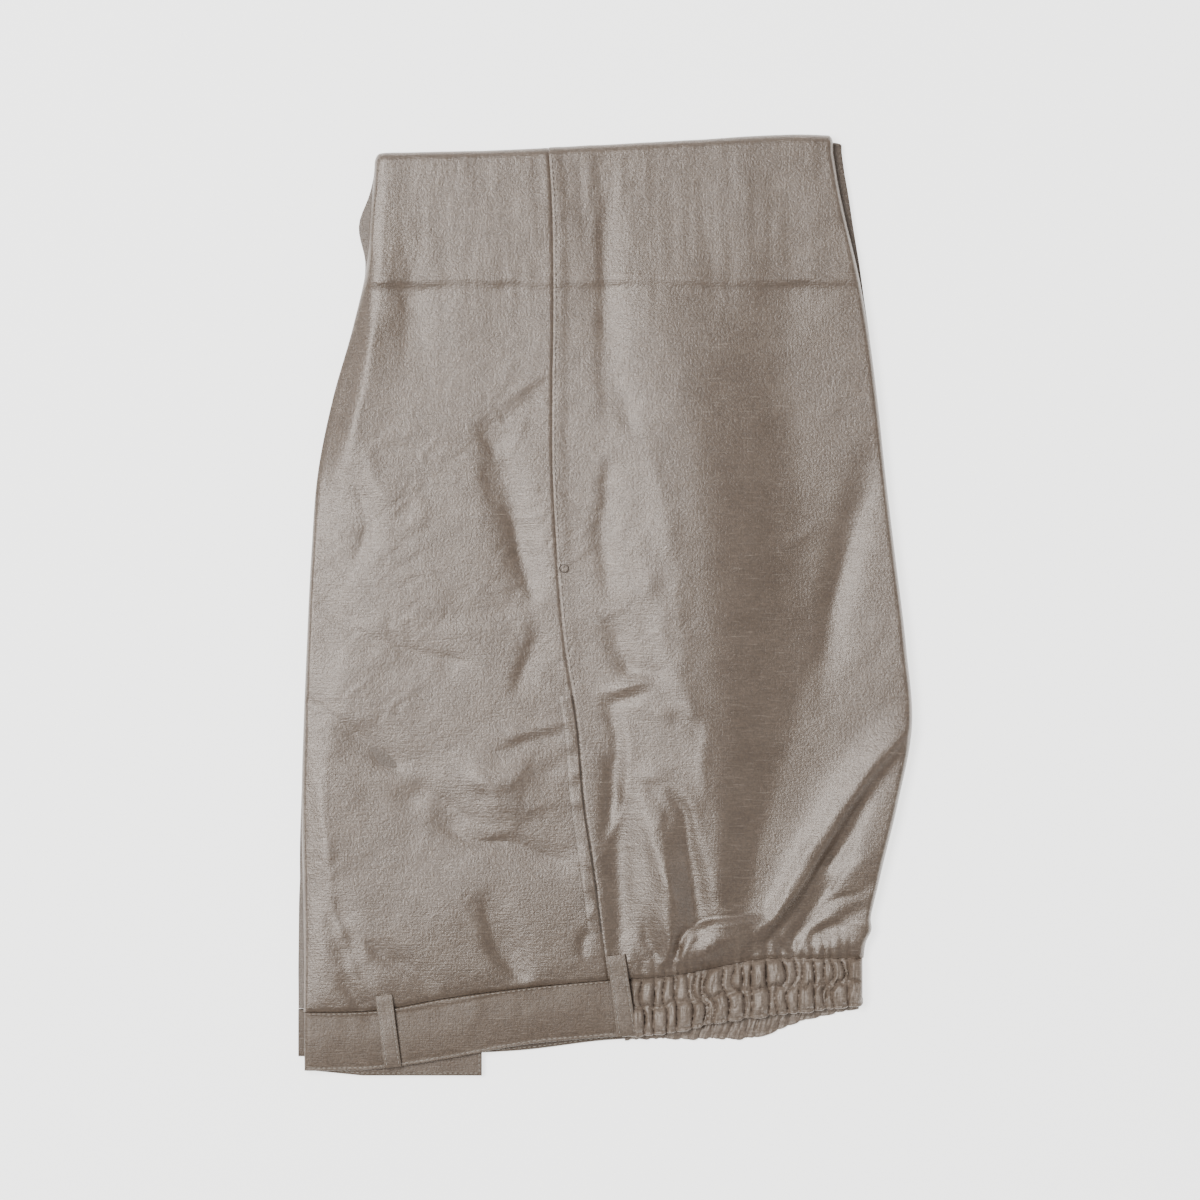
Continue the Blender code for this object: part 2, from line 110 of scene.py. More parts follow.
setStudio()
print("studio ready")


# the garment's cut and lie, close to its solids

def table(names, rows, unit):
    values = np.array(rows, dtype=float) * unit
    return {name: values[:, i] for i, name in enumerate(names.split())}


outline = table("y left seam right underLeft underRight", (
    (-278.4, -179.7, 10.5, 153, 4, -1),
    (-239.4, -180.3, 4.5, 153.9, 3.6, -1),
    (-206.4, -180.3, 0, 155.7, 3, -1),
    (-161.4, -180.9, -5.7, 165.3, 1.8, -1),
    (-116.4, -181.5, -12.3, 176.1, 0.6, -1),
    (-71.4, -180.3, -16.2, 184.2, -1, -1),
    (-26.4, -178.5, -23.7, 180.9, -1, -1),
    (33.6, -175.5, -29.1, 173.7, -1, -1),
    (78.6, -171.9, -31.5, 168.3, -1, -1),
    (123.6, -162.9, -31.8, 163.5, -1, -1),
    (168.6, -150.3, -31.2, 157.5, -0.8, 0.2),
    (204.6, -142.5, -31.2, 150.9, 0.6, 1.5),
    (228.6, -141, -31.5, 145.2, 5.8, 3.3),
    (246.6, -139.2, -32.2, 141.3, 1.2, 4.6),
    (271.2, -137.1, -33.9, 137.1, -1, 5.2),
), mm)

waist = table("x seam lower underLower", (
    (-184.5, -243, -278.4, -270),
    (-136.5, -241.8, -277.2, -271.2),
    (-95.1, -234.6, -271.2, -268.8),
    (-49.5, -228.6, -262.8, -266.4),
    (0.9, -223.8, -258, -260.4),
    (41.1, -220.8, -254.4, -258.6),
    (69.3, -215.4, -248.4, -258.6),
    (95.1, -210.9, -244.8, -258),
    (123.3, -210.6, -241.8, -248.4),
    (153.3, -210.6, -238.2, -240),
), mm)

foldLine = table("x y", (
    (-137.1, 271.2), (-60.3, 273), (-2.7, 276), (54.9, 279), (122.1, 282), (137.1, 281.4),
), mm)

# lines along the upper leg: where the front stops rising, the top of the billow, the valley behind it
relief = table("y shoulder crest valley", (
    (-280, -166, 56, 82),
    (-200, -166, 64, 86),
    (-150, -166, 66, 93),
    (-100, -164, 64, 108),
    (-44, -154, 60, 123),
    (0, -128, 58, 123),
    (40, -132, 55, 122),
    (75, -150, 51, 120),
    (106, -147, 47, 118),
    (135, -140, 43, 114),
    (180, -134.5, 39, 108),
    (285, -129, 36, 95),
), mm)

loft = table("along left shoulder front seam crest valley right", (
    (-36, 7.4, 7.5, 7.6, 7.8, 7.6, 7.5, 7.2),
    (-18, 8.4, 8.5, 8.6, 8.8, 8.8, 8.7, 8.4),
    (0, 8.8, 9.1, 9.4, 9.8, 9.2, 9, 8.6),
    (9, 9.2, 10.4, 11, 11.2, 11.8, 11, 10.2),
    (30, 9.4, 11.8, 12.6, 12.8, 15.2, 12.2, 11.8),
    (90, 9.6, 12.4, 13.2, 13.8, 18.8, 12, 12.6),
    (170, 9.8, 12.7, 13.6, 14.4, 19.6, 10.8, 13),
    (240, 9.8, 13, 13.8, 14.6, 19.6, 10.6, 12.4),
    (290, 8.2, 12.6, 13.6, 14.4, 18.8, 10.7, 12),
    (330, 5.8, 12.2, 13.2, 14, 17.6, 10.9, 11.6),
    (390, 5.8, 12, 12.4, 13, 15.2, 11.4, 11.6),
    (440, 8.6, 11.6, 11.8, 12, 12.2, 11.8, 11.8),
    (520, 10, 11.2, 11.2, 11.2, 11.4, 11.4, 11.4),
), mm)

garment = {
    "hemY": -0.056, "rollWidth": 0.0032, "rimHeight": 0.0050, "cornerPull": 0.0030, "foldRadius": 0.0055,
    "jointX": 0.0105, "elasticEnd": 0.1545, "underBand": 0.0026,
    "hem": {"left": -0.1200, "seam": -0.0200, "right": 0.1050},
    "clothWall": 0.0009, "gap": 0.00035, "bandWidth": 0.034,
}

# Folds, in millimetres. Each starts with how much wider its left-hand side is,
# then has x, y, half width and height of each point. The largest ones lie near those of the solids.
bigFolds = (
    (1, (162, 100, 8, -0.4), (148, 50, 9, -1.4), (137, 0, 9, -1.6), (131, -38, 9, -0.8)),
    (0.34, (181, -74, 12, 1.8), (156, -103, 14, 3.8), (134.5, -136, 13, 4.2), (116.5, -167, 11, 3.8),
     (98.5, -192, 8, 2.2)),
    (1, (164, -102, 9, -0.4), (142, -148, 9, -1.2), (120, -190, 8, -1.8)),
    (1, (156, -182, 6, -1.4), (114.9, -201, 6, -2)),
    (1, (48.3, -210.6, 9, 2), (69, -199, 10, 3.4), (92.1, -189.6, 9, 2)),
    (2, (45, -115.8, 5, -0.6), (55.5, -187.8, 5, -3.2)),
    (0.6, (34, -126, 10, 1.4), (39, -196, 10, 2.8)),
    (1, (7.6, -112.8, 8, -1.4), (10, -200, 8, -2.2)),
    (1, (0, 260, 9, -0.3), (1, 195, 9, -0.6), (6, 129, 10, -0.4)),
    (1, (-130, 243.6, 10, 0.2), (-133, 199.8, 12, 0.6), (-140, 144.6, 13, 0.6), (-154, 89.4, 14, 0.2)),
    (1, (-65.5, 105, 10, -0.6), (-55, 57, 10, -1.8), (-48, 6, 10, -0.8)),
    (1, (-70, -178.8, 10, -1), (-52, -215, 9, -1.8)),
    (1, (-95.7, -132, 10, -0.6), (-60, -142, 11, -1.6), (-26, -152, 10, -0.8)),
    (1, (-163.5, -174, 9, -1.2), (-143, -237, 8, -1.2)),
)

frontCreases = (
    (1, (-33, 140, 4, 0.3), (-48, 130, 4.5, 0.6), (-63, 119, 4, 0.1)),
    (2, (-62, 114, 3, -0.1), (-50, 124, 3.5, -0.5), (-36, 134, 3, -0.4)),
    (1.5, (-134, 101, 4, 0.2), (-112, 103, 5, 0.5), (-88, 103, 4, 0.1)),
    (2.6, (-76, 108, 3.5, -0.3), (-71, 101, 4, -1), (-66, 90, 3.5, -0.4)),
    (2.8, (-70, 84, 4, -0.5), (-68, 73, 5, -1), (-65, 62, 4, -0.7)),
    (2.8, (-59, 60, 3.5, -0.5), (-54, 44, 4, -1.2), (-50, 28, 4, -1.5), (-46, 14, 3.5, -1.2),
     (-42, 4, 3, -0.3)),
    (2.4, (-42, -8, 4, -0.3), (-43, -24, 4.5, -0.9), (-47, -36, 4, -1.2), (-53, -50, 3, -0.4)),
    (1.5, (-86, 55, 3, 0.2), (-66, 52, 4, 0.5), (-44, 52, 3, 0.2)),
    (1.5, (-101, -16, 4, 0.1), (-78, -13, 5, 0.5), (-54, -14, 4, 0.1)),
    (1.4, (-54, -4, 5, -0.2), (-76, -4, 6, -0.6), (-102, -9, 5, -0.2)),
    (1, (-129, -10, 2.5, -0.4), (-127, -17, 3, -0.6), (-123, -21, 2, -0.2)),
    (1, (-104, -64, 4, 0.1), (-80, -74, 4, 0.4), (-56, -77, 4, 0.5), (-26, -70, 3, 0.2)),
    (2, (-26, -76, 2.6, -0.3), (-44, -80, 3, -0.7), (-60, -86, 3, -0.6), (-80, -84, 3, -0.2)),
    (1, (-97, -131, 2, -0.2), (-75, -142, 2.2, -0.7), (-58, -141, 2.2, -0.6), (-36, -149, 2.2, -0.5),
     (-10, -158, 2, -0.2)),
    (1, (-92, -126, 4, 0.1), (-72, -135, 5, 0.5), (-50, -135, 5, 0.4), (-28, -142, 4, 0.2)),
    (1.6, (-72, -176, 3, -0.3), (-70, -190, 3, -1.1), (-66, -206, 3.5, -1.5), (-58, -216, 3, -1.1),
     (-48, -224, 3, -0.3)),
    (1.6, (-142, -199, 3, -0.4), (-134, -208, 4, -1.4), (-118, -216, 4, -1.2), (-104, -227, 3.5, -0.8)),
    (1, (-164, -173, 2.5, 0.2), (-158, -191, 2.5, 0.5), (-152, -210, 2.5, 0.6), (-142, -237, 2.5, 0.3)),
    (1.4, (-159, -223, 3, -0.5), (-152, -232, 3.5, -1.2), (-145, -240, 3, -0.7)),
    (3, (-86, -92, 8, 0.4), (-70, -108, 9, 1.5), (-56, -128, 8, 0.6)),
    (3, (-142, 92, 5, 0.3), (-137, 76, 6, 0.9), (-130, 64, 6, 0.6), (-122, 58, 5, 0.1)),
    (1, (-175, -10, 5, 0.1), (-150, -18, 7, 0.4), (-128, -30, 6, 0.2)),
    (1, (-128, 240, 8, -0.1), (-118, 205, 10, -0.4), (-110, 160, 10, -0.3), (-104, 130, 8, -0.1)),
    (2, (-122, 190, 4, -0.2), (-118, 176, 5, -0.7), (-120, 160, 5, -0.5), (-122, 144, 4, -0.2)),
    (1, (-44, -98, 5, 0.2), (-60, -106, 6, 0.5), (-84, -104, 5, 0.2)),
    (1.6, (-46, -96, 3, -0.2), (-36, -98, 4, -0.6), (-20, -92, 4, -0.4)),
    (1, (-24, -116, 4, 0.2), (-40, -120, 5, 0.4), (-62, -118, 4, 0.1)),
    (1, (-10, -196, 3, -0.6), (-13, -205, 3, -0.8), (-11, -213, 2, -0.3)),
)
backCreases = (
    (2.6, (-1, 270, 3, -0.3), (-1, 220, 3.5, -0.5), (-1, 180, 3.5, -0.7), (-1, 140, 3, -0.6),
     (0, 112, 3, -0.2)),
    (1, (-14, 262, 3, -0.2), (-13, 236, 3.5, -0.3), (-14, 210, 3, -0.1)),
    (1.6, (8, 134, 4, -0.3), (12, 116, 5, -0.8), (18, 104, 4, -0.3)),
    (2, (2, 84, 3.5, -0.5), (1, 66, 4, -1.2), (-2, 44, 5, -1.4), (0, 20, 4, -0.9), (2, 6, 4, -0.3)),
    (1, (3, -8, 6, -0.4), (8, -24, 7, -1.5), (14, -39, 6, -1.2)),
    (1, (26, 100, 6, 0.2), (34, 66, 8, 0.6), (40, 30, 9, 0.7), (44, -4, 8, 0.6), (48, -40, 8, 0.6),
     (52, -76, 7, 0.5)),
    (1, (20, 40, 7, 0.2), (26, 14, 8, 0.8), (36, -22, 8, 0.9), (50, -60, 7, 0.5)),
    (1, (-3, -51, 3, 0.3), (10, -49, 3.5, 1.1), (26, -46, 3.5, 0.6)),
    (1, (10, -58, 4, 0.2), (24, -60, 6, 0.7), (38, -66, 5, 0.4)),
    (1.8, (2, -56, 3.5, -0.5), (7, -80, 4, -1.3), (6, -106, 3.5, -1.1), (9, -119, 3, -0.3)),
    (1, (12, -62, 4, 0.3), (14, -90, 4.5, 0.7), (13, -114, 4, 0.5)),
    (1.6, (0, -82, 3, -0.2), (2, -100, 3.5, -1.1), (3, -122, 3.5, -1.3), (0, -138, 3, -0.5)),
    (1, (12, -106, 3, 0.3), (10, -124, 3.2, 1), (5, -136, 3, 1), (1, -144, 3, 0.3)),
    (1, (14, -104, 6, 0.2), (28, -101, 6, 0.9), (40, -106, 6, 1.1), (50, -118, 6, 1.1),
     (56, -136, 6, 0.9), (61, -156, 6, 0.7), (66, -180, 6, 0.4)),
    (1.6, (38, -112, 2.6, -0.4), (46, -121, 2.6, -1), (51, -142, 2.6, -1), (54, -160, 2.6, -0.7),
     (58, -182, 2.4, -0.4)),
    (1, (22, -110, 4, 0.4), (27, -134, 5, 1.2), (36, -158, 5, 1.3), (44, -176, 4.5, 1.1),
     (47, -196, 4, 0.8)),
    (1, (28, -108, 4, -0.3), (36, -124, 4, -0.8), (38, -142, 4, -0.5), (44, -160, 3, -0.3)),
    (1, (26, -184, 3.5, -0.5), (27, -200, 4, -1.9), (33, -210, 4, -1.2)),
    (1, (37, -186, 3.5, 0.4), (40, -202, 3.5, 1.2), (36, -212, 3, 0.8)),
    (1, (48, -186, 3, -0.4), (47, -200, 3.5, -1.4), (42, -212, 3, -1)),
    (1, (12, -196, 4, 0.3), (16, -208, 4, 1), (14, -216, 3, 0.6)),
    (1.5, (104, 34, 4, 0.1), (116, 40, 5, 0.5), (128, 47, 4, 0.2)),
    (1, (52, 270, 5, -0.1), (60, 225, 7, -0.3), (66, 190, 6, -0.2)),
    (1, (84, 262, 7, 0.1), (86, 220, 9, 0.3), (92, 180, 8, 0.1)),
    (1, (108, 250, 7, -0.1), (112, 205, 9, -0.3), (112, 170, 7, -0.1)),
    (1, (178, -76, 3.5, 0.2), (163, -91, 4, 0.5), (150, -111, 4, 0.7), (135, -130, 4, 0.8),
     (120, -152, 4, 0.9), (111, -169, 4, 0.9), (101, -185, 3.5, 0.9), (85, -200, 3, 0.5)),
    (0.7, (177, -94, 10, 0.1), (161, -126, 12, 0.3), (146, -154, 10, 0.5), (130, -181, 6, 0.6),
     (117, -200, 4, 0.5)),
    (1, (157, -118, 4, -0.3), (144, -142, 4, -0.9), (134, -156, 4, -0.9)),
    (1, (166, -146, 6, 0.3), (152, -154, 8, 0.9), (138, -164, 6, 0.6)),
    (1.4, (166, -160, 3, -0.3), (150, -172, 3, -1), (136, -176, 3, -1.4), (128, -184, 2.6, -1.6),
     (117, -196, 2.6, -1.6), (110, -206, 2.4, -1.2)),
    (0.8, (162, -191, 5, 0.7), (148, -189, 5, 1.3), (133, -188, 5, 1.4), (122, -197, 4, 1.3),
     (118, -206, 3.5, 0.9)),
    (1, (158, -200, 4, 0.6), (144, -203, 5, 1), (134, -205, 4, 0.6)),
    (1.8, (46, -212, 2.6, 0.7), (50, -202, 3, 1.4), (59, -194, 3.4, 1.6), (76, -190, 3.4, 1.5),
     (90, -188, 3, 0.8)),
    (1, (43, -209, 2, -1.4), (47, -198, 2.2, -1.6), (57, -189, 2.2, -1.5), (76, -185, 2.2, -1.1),
     (90, -183, 2, -0.4)),
    (1, (58, -204, 8, 1), (72, -202, 9, 1.5), (84, -203, 7, 1.1)),
    (1, (66, -199, 2.5, -0.3), (72, -203, 2.5, -0.9), (78, -206, 2.5, -0.5)),
    (1, (14, -38, 4, -0.2), (26, -40, 5, -0.7), (36, -42, 4, -0.3)),
    (1, (38, -64, 4, -0.2), (50, -70, 4, -0.8), (56, -80, 3.5, -0.4)),
    (1, (60, -70, 5, 0.3), (58, -92, 5, 0.8), (60, -112, 4, 0.3)),
)
# these have a sharp line
sharpFolds = (
    (0.4, (-182, -54, 18, -0.8), (-160, -68, 26, -1.9), (-140, -84, 30, -2.6), (-112, -106, 30, -2.8),
     (-92, -120, 26, -2), (-72, -130, 16, -0.5)),
    (0.4, (-176, 6, 14, -0.6), (-160, -7, 18, -1.6), (-140, -18, 20, -2.1), (-118, -26, 18, -2),
     (-93, -31, 14, -1.3), (-76, -36, 9, -0.3)),
    (0.6, (-158, 86, 8, -0.4), (-146, 66, 10, -1.5), (-143, 46, 10, -1.6), (-150, 24, 8, -0.6)),
    (3, (-178, -62, 6, 0.4), (-169, -128, 8, 1.3), (-160, -187, 10, 1.9), (-151, -220, 10, 1.6),
     (-144, -240, 8, 0.7)),
    (2.2, (170, 100, 8, -0.1), (158, 68, 10, -0.6), (148, 42, 11, -1.1), (139, 13, 11, -1.4),
     (133, -10, 11, -1.3), (130, -44, 9, -0.7), (127, -66, 8, -0.2)),
    (4, (178, -83, 2.4, -0.3), (161, -106, 2.4, -0.8), (149, -126, 2.4, -1.1), (134, -148, 2.4, -1.4),
     (126, -162, 2.4, -1.5), (116, -180, 2.4, -1.5), (99, -199, 2.4, -1.3), (90, -207, 2.2, -0.7)),
    (0.6, (150, -150, 4, -0.3), (140, -160, 5, -0.9), (129, -176, 5, -1.2), (118, -190, 4, -1.3),
     (108, -204, 4, -0.9)),
    (1.6, (-137, 268, 6, 0.1), (-138, 230, 7, 0.6), (-139, 191, 8, 1), (-142, 149, 8, 1.2),
     (-151, 107, 8, 1), (-161, 81, 8, 0.4)),
    (1, (-30, 128, 3, -0.2), (-42, 124, 4, -0.6), (-58, 112, 4, -0.3)),
    (1, (-1, -58, 3, -0.3), (12, -56, 3.5, -0.9), (26, -52, 3, -0.4)),
)
crumple = {"size": (0.024, 0.011), "height": (0.00017, 0.00009), "sharp": (0.20, 0.26), "warp": 0.0011}
ripples = ((26.0, 0.14), (11.0, 0.08), (4.6, 0.04), (2.0, 0.022))  # size and height, in millimetres
pressLine = {"y": 0.1938, "width": 0.0036, "height": 0.0008, "step": 0.0013}
seamRidge = {"width": 0.0052, "lift": 0.00034, "soft": 0.0040, "end": 0.020}


def cubic(t, step, start, end, startSlope, endSlope):
    near = (1 + 2 * t) * (1 - t) ** 2 * start + t * (1 - t) ** 2 * step * startSlope
    return near + t * t * (3 - 2 * t) * end + t * t * (t - 1) * step * endSlope


def curve(keys, values, at):
    at = np.clip(at, keys[0], keys[-1])
    slope = np.gradient(values, keys)
    i = np.clip(np.searchsorted(keys, at, side="right") - 1, 0, len(keys) - 2)
    step = keys[i + 1] - keys[i]
    return cubic((at - keys[i]) / step, step, values[i], values[i + 1], slope[i], slope[i + 1])


def edge(name, y):
    return curve(outline["y"], outline[name], y)


def waistLine(name, x):
    return curve(waist["x"], waist[name], x)


def smooth(t):
    t = np.clip(t, 0, 1)
    return t * t * (3 - 2 * t)


def foldHeight(rows, x, y, power, lean):
    # the line is smoothed through its points and fades out past both ends
    values = np.array(rows, dtype=float) * mm
    first, last = values[0] + (values[0] - values[1]) * 0.3, values[-1] + (values[-1] - values[-2]) * 0.3
    first[2:], last[2:] = (values[0, 2], 0), (values[-1, 2], 0)
    values = np.vstack((first, values, last))
    length = np.concatenate(([0], np.cumsum(np.hypot(*np.diff(values[:, :2], axis=0).T))))
    spots = np.linspace(0, length[-1], 3 * len(values) - 2)
    names = ("x", "y", "width", "height")
    points = {name: curve(length, values[:, k], spots) for k, name in enumerate(names)}
    lift = np.zeros(np.shape(x))
    reach = 3 * max(lean, 1) * points["width"].max()
    near = np.ones(np.shape(x), dtype=bool)
    for at, name in ((x, "x"), (y, "y")):
        low, high = points[name].min(), points[name].max()
        near &= np.abs(at - (low + high) / 2) < (high - low) / 2 + reach
    if not near.any():
        return lift
    fromX, fromY = x[near] - points["x"][:-1, None], y[near] - points["y"][:-1, None]
    dx, dy = np.diff(points["x"])[:, None], np.diff(points["y"])[:, None]
    t = np.clip((fromX * dx + fromY * dy) / (dx * dx + dy * dy), 0, 1)
    distance = np.hypot(fromX - t * dx, fromY - t * dy)
    distance = np.where(dx * fromY > dy * fromX, distance / lean, distance)
    nearest = distance.argmin(axis=0)[None]
    width, height = (
        np.take_along_axis(points[name][:-1, None] + t * np.diff(points[name])[:, None], nearest, 0)[0]
        for name in ("width", "height"))
    distance = np.take_along_axis(distance, nearest, 0)[0]
    lift[near] = height * np.exp(-(distance / width) ** power)
    return lift


def patchNoise(x, y, size, seed):
    # smooth uneven ground from a seeded lattice, between -1 and 1
    u, v = x / size + 40.0, y / size + 40.0
    lattice = np.random.default_rng(seed).uniform(-1, 1, (160, 160))
    i, j = np.floor(u).astype(int) % 159, np.floor(v).astype(int) % 159
    a, b = smooth(u - np.floor(u)), smooth(v - np.floor(v))
    low = lattice[i, j] * (1 - a) + lattice[i + 1, j] * a
    high = lattice[i, j + 1] * (1 - a) + lattice[i + 1, j + 1] * a
    return low * (1 - b) + high * b


def acrossCurve(places, levels, at):
    # smooth line through levels whose places differ from point to point
    places, levels = np.array(np.broadcast_arrays(*places)), np.array(levels)
    rise = np.diff(levels, axis=0) / np.diff(places, axis=0)
    both = rise[1:] * rise[:-1]
    bend = np.where(both > 0, 2 * both / np.where(both > 0, rise[1:] + rise[:-1], 1), 0)
    slope = np.concatenate((rise[:1], bend, rise[-1:]))
    i = np.clip((at >= places).sum(axis=0) - 1, 0, len(places) - 2)[None]
    (start, end), heights, slopes = ([np.take_along_axis(rows, i + k, 0)[0] for k in (0, 1)]
                                     for rows in (places, levels, slope))
    return cubic(np.clip((at - start) / (end - start), 0, 1), end - start, *heights, *slopes)


def formHeight(x, y):
    left, seam, right = edge("left", y), edge("seam", y), edge("right", y)
    shoulder, crest, valley = (curve(relief["y"], relief[name], y)
                               for name in ("shoulder", "crest", "valley"))
    front = 0.5 * (shoulder + seam)
    along = y - waistLine("seam", x)
    names = ("left", "shoulder", "front", "seam", "crest", "valley", "right")
    levels = [curve(loft["along"], loft[name], along) for name in names]
    base = acrossCurve([left, shoulder, front, seam, crest, valley, right], levels, x)
    for lean, *rows in bigFolds:
        base = base + foldHeight(rows, x, y, 2.0, lean)
    return base


def clothHeight(x, y):
    z = formHeight(x, y)
    # the creases waver, and are uneven along their length
    warp = crumple["warp"]
    wx = x + warp * patchNoise(x, y, 0.020, 51) + 0.3 * warp * patchNoise(x, y, 0.006, 52)
    wy = y + warp * patchNoise(x, y, 0.022, 53) + 0.3 * warp * patchNoise(x, y, 0.006, 54)
    fine = np.zeros(np.shape(x))
    for lean, *rows in frontCreases + backCreases:
        fine = fine + foldHeight(rows, wx, wy, 1.6, lean)
    for lean, *rows in sharpFolds:
        fine = fine + foldHeight(rows, wx, wy, 1.0, lean)
    z = z + fine * (0.95 + 0.35 * patchNoise(x, y, 0.013, 55))
    # the worn half of the leg is crumpled, most of all low on the front
    worn = smooth((0.062 - x) / 0.03) * (0.25 + 0.75 * smooth((0.17 - y) / 0.07)) + 0.08
    worn = worn * smooth(0.5 + 0.9 * patchNoise(x, y, 0.030, 58))
    for i, size in enumerate(crumple["size"]):
        for k, side in enumerate((1.0, -1.0)):
            u, v = 0.80 * wx + 0.60 * wy, 0.80 * wy - 0.60 * wx
            net = patchNoise(u * 0.75, v * 1.25, size, 60 + 2 * i + k)
            net = net + 0.35 * patchNoise(u, v, size * 0.4, 70 + 2 * i + k)
            crease = np.clip(1 - np.abs(net) / crumple["sharp"][i], 0, 1) ** 1.5
            z = z + side * worn * crumple["height"][i] * crease
    for i, (size, height) in enumerate(ripples):
        z = z + height * mm * patchNoise(0.86 * x + 0.5 * y, (0.86 * y - 0.5 * x) * 1.3, size * mm, 11 + i)
    streaks = patchNoise(x * 3.2, y * 0.5, 0.016, 81) + 0.5 * patchNoise(x * 3.2, y * 0.7, 0.008, 82)
    z = z + 0.00010 * streaks * smooth((y - 0.15) / 0.05)
    off = y - pressLine["y"] - 0.0006 * np.sin(x * 60) - 0.0008 * patchNoise(x, y * 0, 0.011, 83)
    press = 0.85 + 0.35 * patchNoise(x, y * 0, 0.028, 84)
    z = z + press * pressLine["height"] * np.exp(-(off / pressLine["width"]) ** 2)
    below = smooth(0.5 - off / 0.008) * np.exp(-np.abs(np.minimum(off, 0)) / 0.05)
    return z - press * pressLine["step"] * below


def seamLift(x, y):
    # the back's turned edge stands up a little along the side seam
    off = np.abs(x - edge("seam", y))
    strength = smooth((y - seamRidge["end"]) / 0.02) * 0.6 + 0.4
    raised = smooth(off / 0.0006) - smooth((off - seamRidge["width"]) / seamRidge["soft"])
    return seamRidge["lift"] * strength * raised


print("form ready")


# mesh helpers

def deselectAll():
    for other in bpy.context.selected_objects:
        other.select_set(False)


def activate(piece):
    deselectAll()
    piece.select_set(True)
    bpy.context.view_layer.objects.active = piece


def addPiece(name, verts, faces, material, smoothAngle=50):
    mesh = bpy.data.meshes.new(name)
    mesh.from_pydata(np.asarray(verts).tolist(), [], faces)
    mesh.update()
    piece = addObject(name, mesh)
    piece.data.materials.append(material)
    activate(piece)
    bpy.ops.object.shade_smooth_by_angle(angle=math.radians(smoothAngle))
    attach(piece, "root")
    return piece


def gridFaces(rows, columns):
    r, c = np.meshgrid(np.arange(rows - 1), np.arange(columns - 1), indexing="ij")
    a = r * columns + c
    return np.stack((a, a + 1, a + columns + 1, a + columns), axis=-1).reshape(-1, 4).tolist()


def addSheet(name, grid, material, wall):
    rows, columns = grid.shape[:2]
    piece = addPiece(name, grid.reshape(-1, 3), gridFaces(rows, columns), material, 60)
    shell = piece.modifiers.new("wall", "SOLIDIFY")
    shell.thickness = wall
    shell.offset = -1
    bpy.ops.object.modifier_apply(modifier="wall")
    bpy.ops.object.shade_smooth_by_angle(angle=math.radians(50))
    return piece


def addRings(name, rings, material):
    # a closed tube through rings of points, with a flat cap at each end
    count, size = rings.shape[:2]
    r, i = np.meshgrid(np.arange(count - 1), np.arange(size), indexing="ij")
    j = (i + 1) % size
    faces = np.stack((r * size + i, r * size + j, (r + 1) * size + j, (r + 1) * size + i), axis=-1)
    faces = faces.reshape(-1, 4).tolist()
    faces += [list(range(size))[::-1], list(range((count - 1) * size, count * size))]
    piece = addPiece(name, rings.reshape(-1, 3), faces, material)
    body = bmesh.new()
    body.from_mesh(piece.data)
    bmesh.ops.recalc_face_normals(body, faces=body.faces)
    body.to_mesh(piece.data)
    body.free()
    return piece


# silk

silk = {
    "panel": {"dark": (0.104, 0.067, 0.042), "light": (0.140, 0.097, 0.066), "rough": 0.36, "shine": 2.05},
    "band": {"dark": (0.114, 0.076, 0.050), "light": (0.144, 0.103, 0.073), "rough": 0.44, "shine": 1.7},
    # the gathered waistband is the band's silk painted much lighter: painted light, making up for shade in
    # its pleats
    "gather": {"dark": (0.180, 0.131, 0.096), "light": (0.232, 0.176, 0.136), "rough": 0.44, "shine": 1.85},
    # belt loops: the band's silk painted lighter, a painted highlight that sets them off from the band
    "loop": {"dark": (0.136, 0.097, 0.069), "light": (0.178, 0.133, 0.100), "rough": 0.42, "shine": 1.85},
    # hidden layers: the panel's silk painted darker, painted shade for cloth lying under the top layers
    "inner": {"dark": (0.095, 0.066, 0.046), "light": (0.122, 0.088, 0.064), "rough": 0.42, "shine": 1.8},
    "tint": (1.0, 0.92, 0.85), "slubLength": 0.014, "slubHeight": 0.0008, "grain": 0.0015, "bump": 0.00017,
}


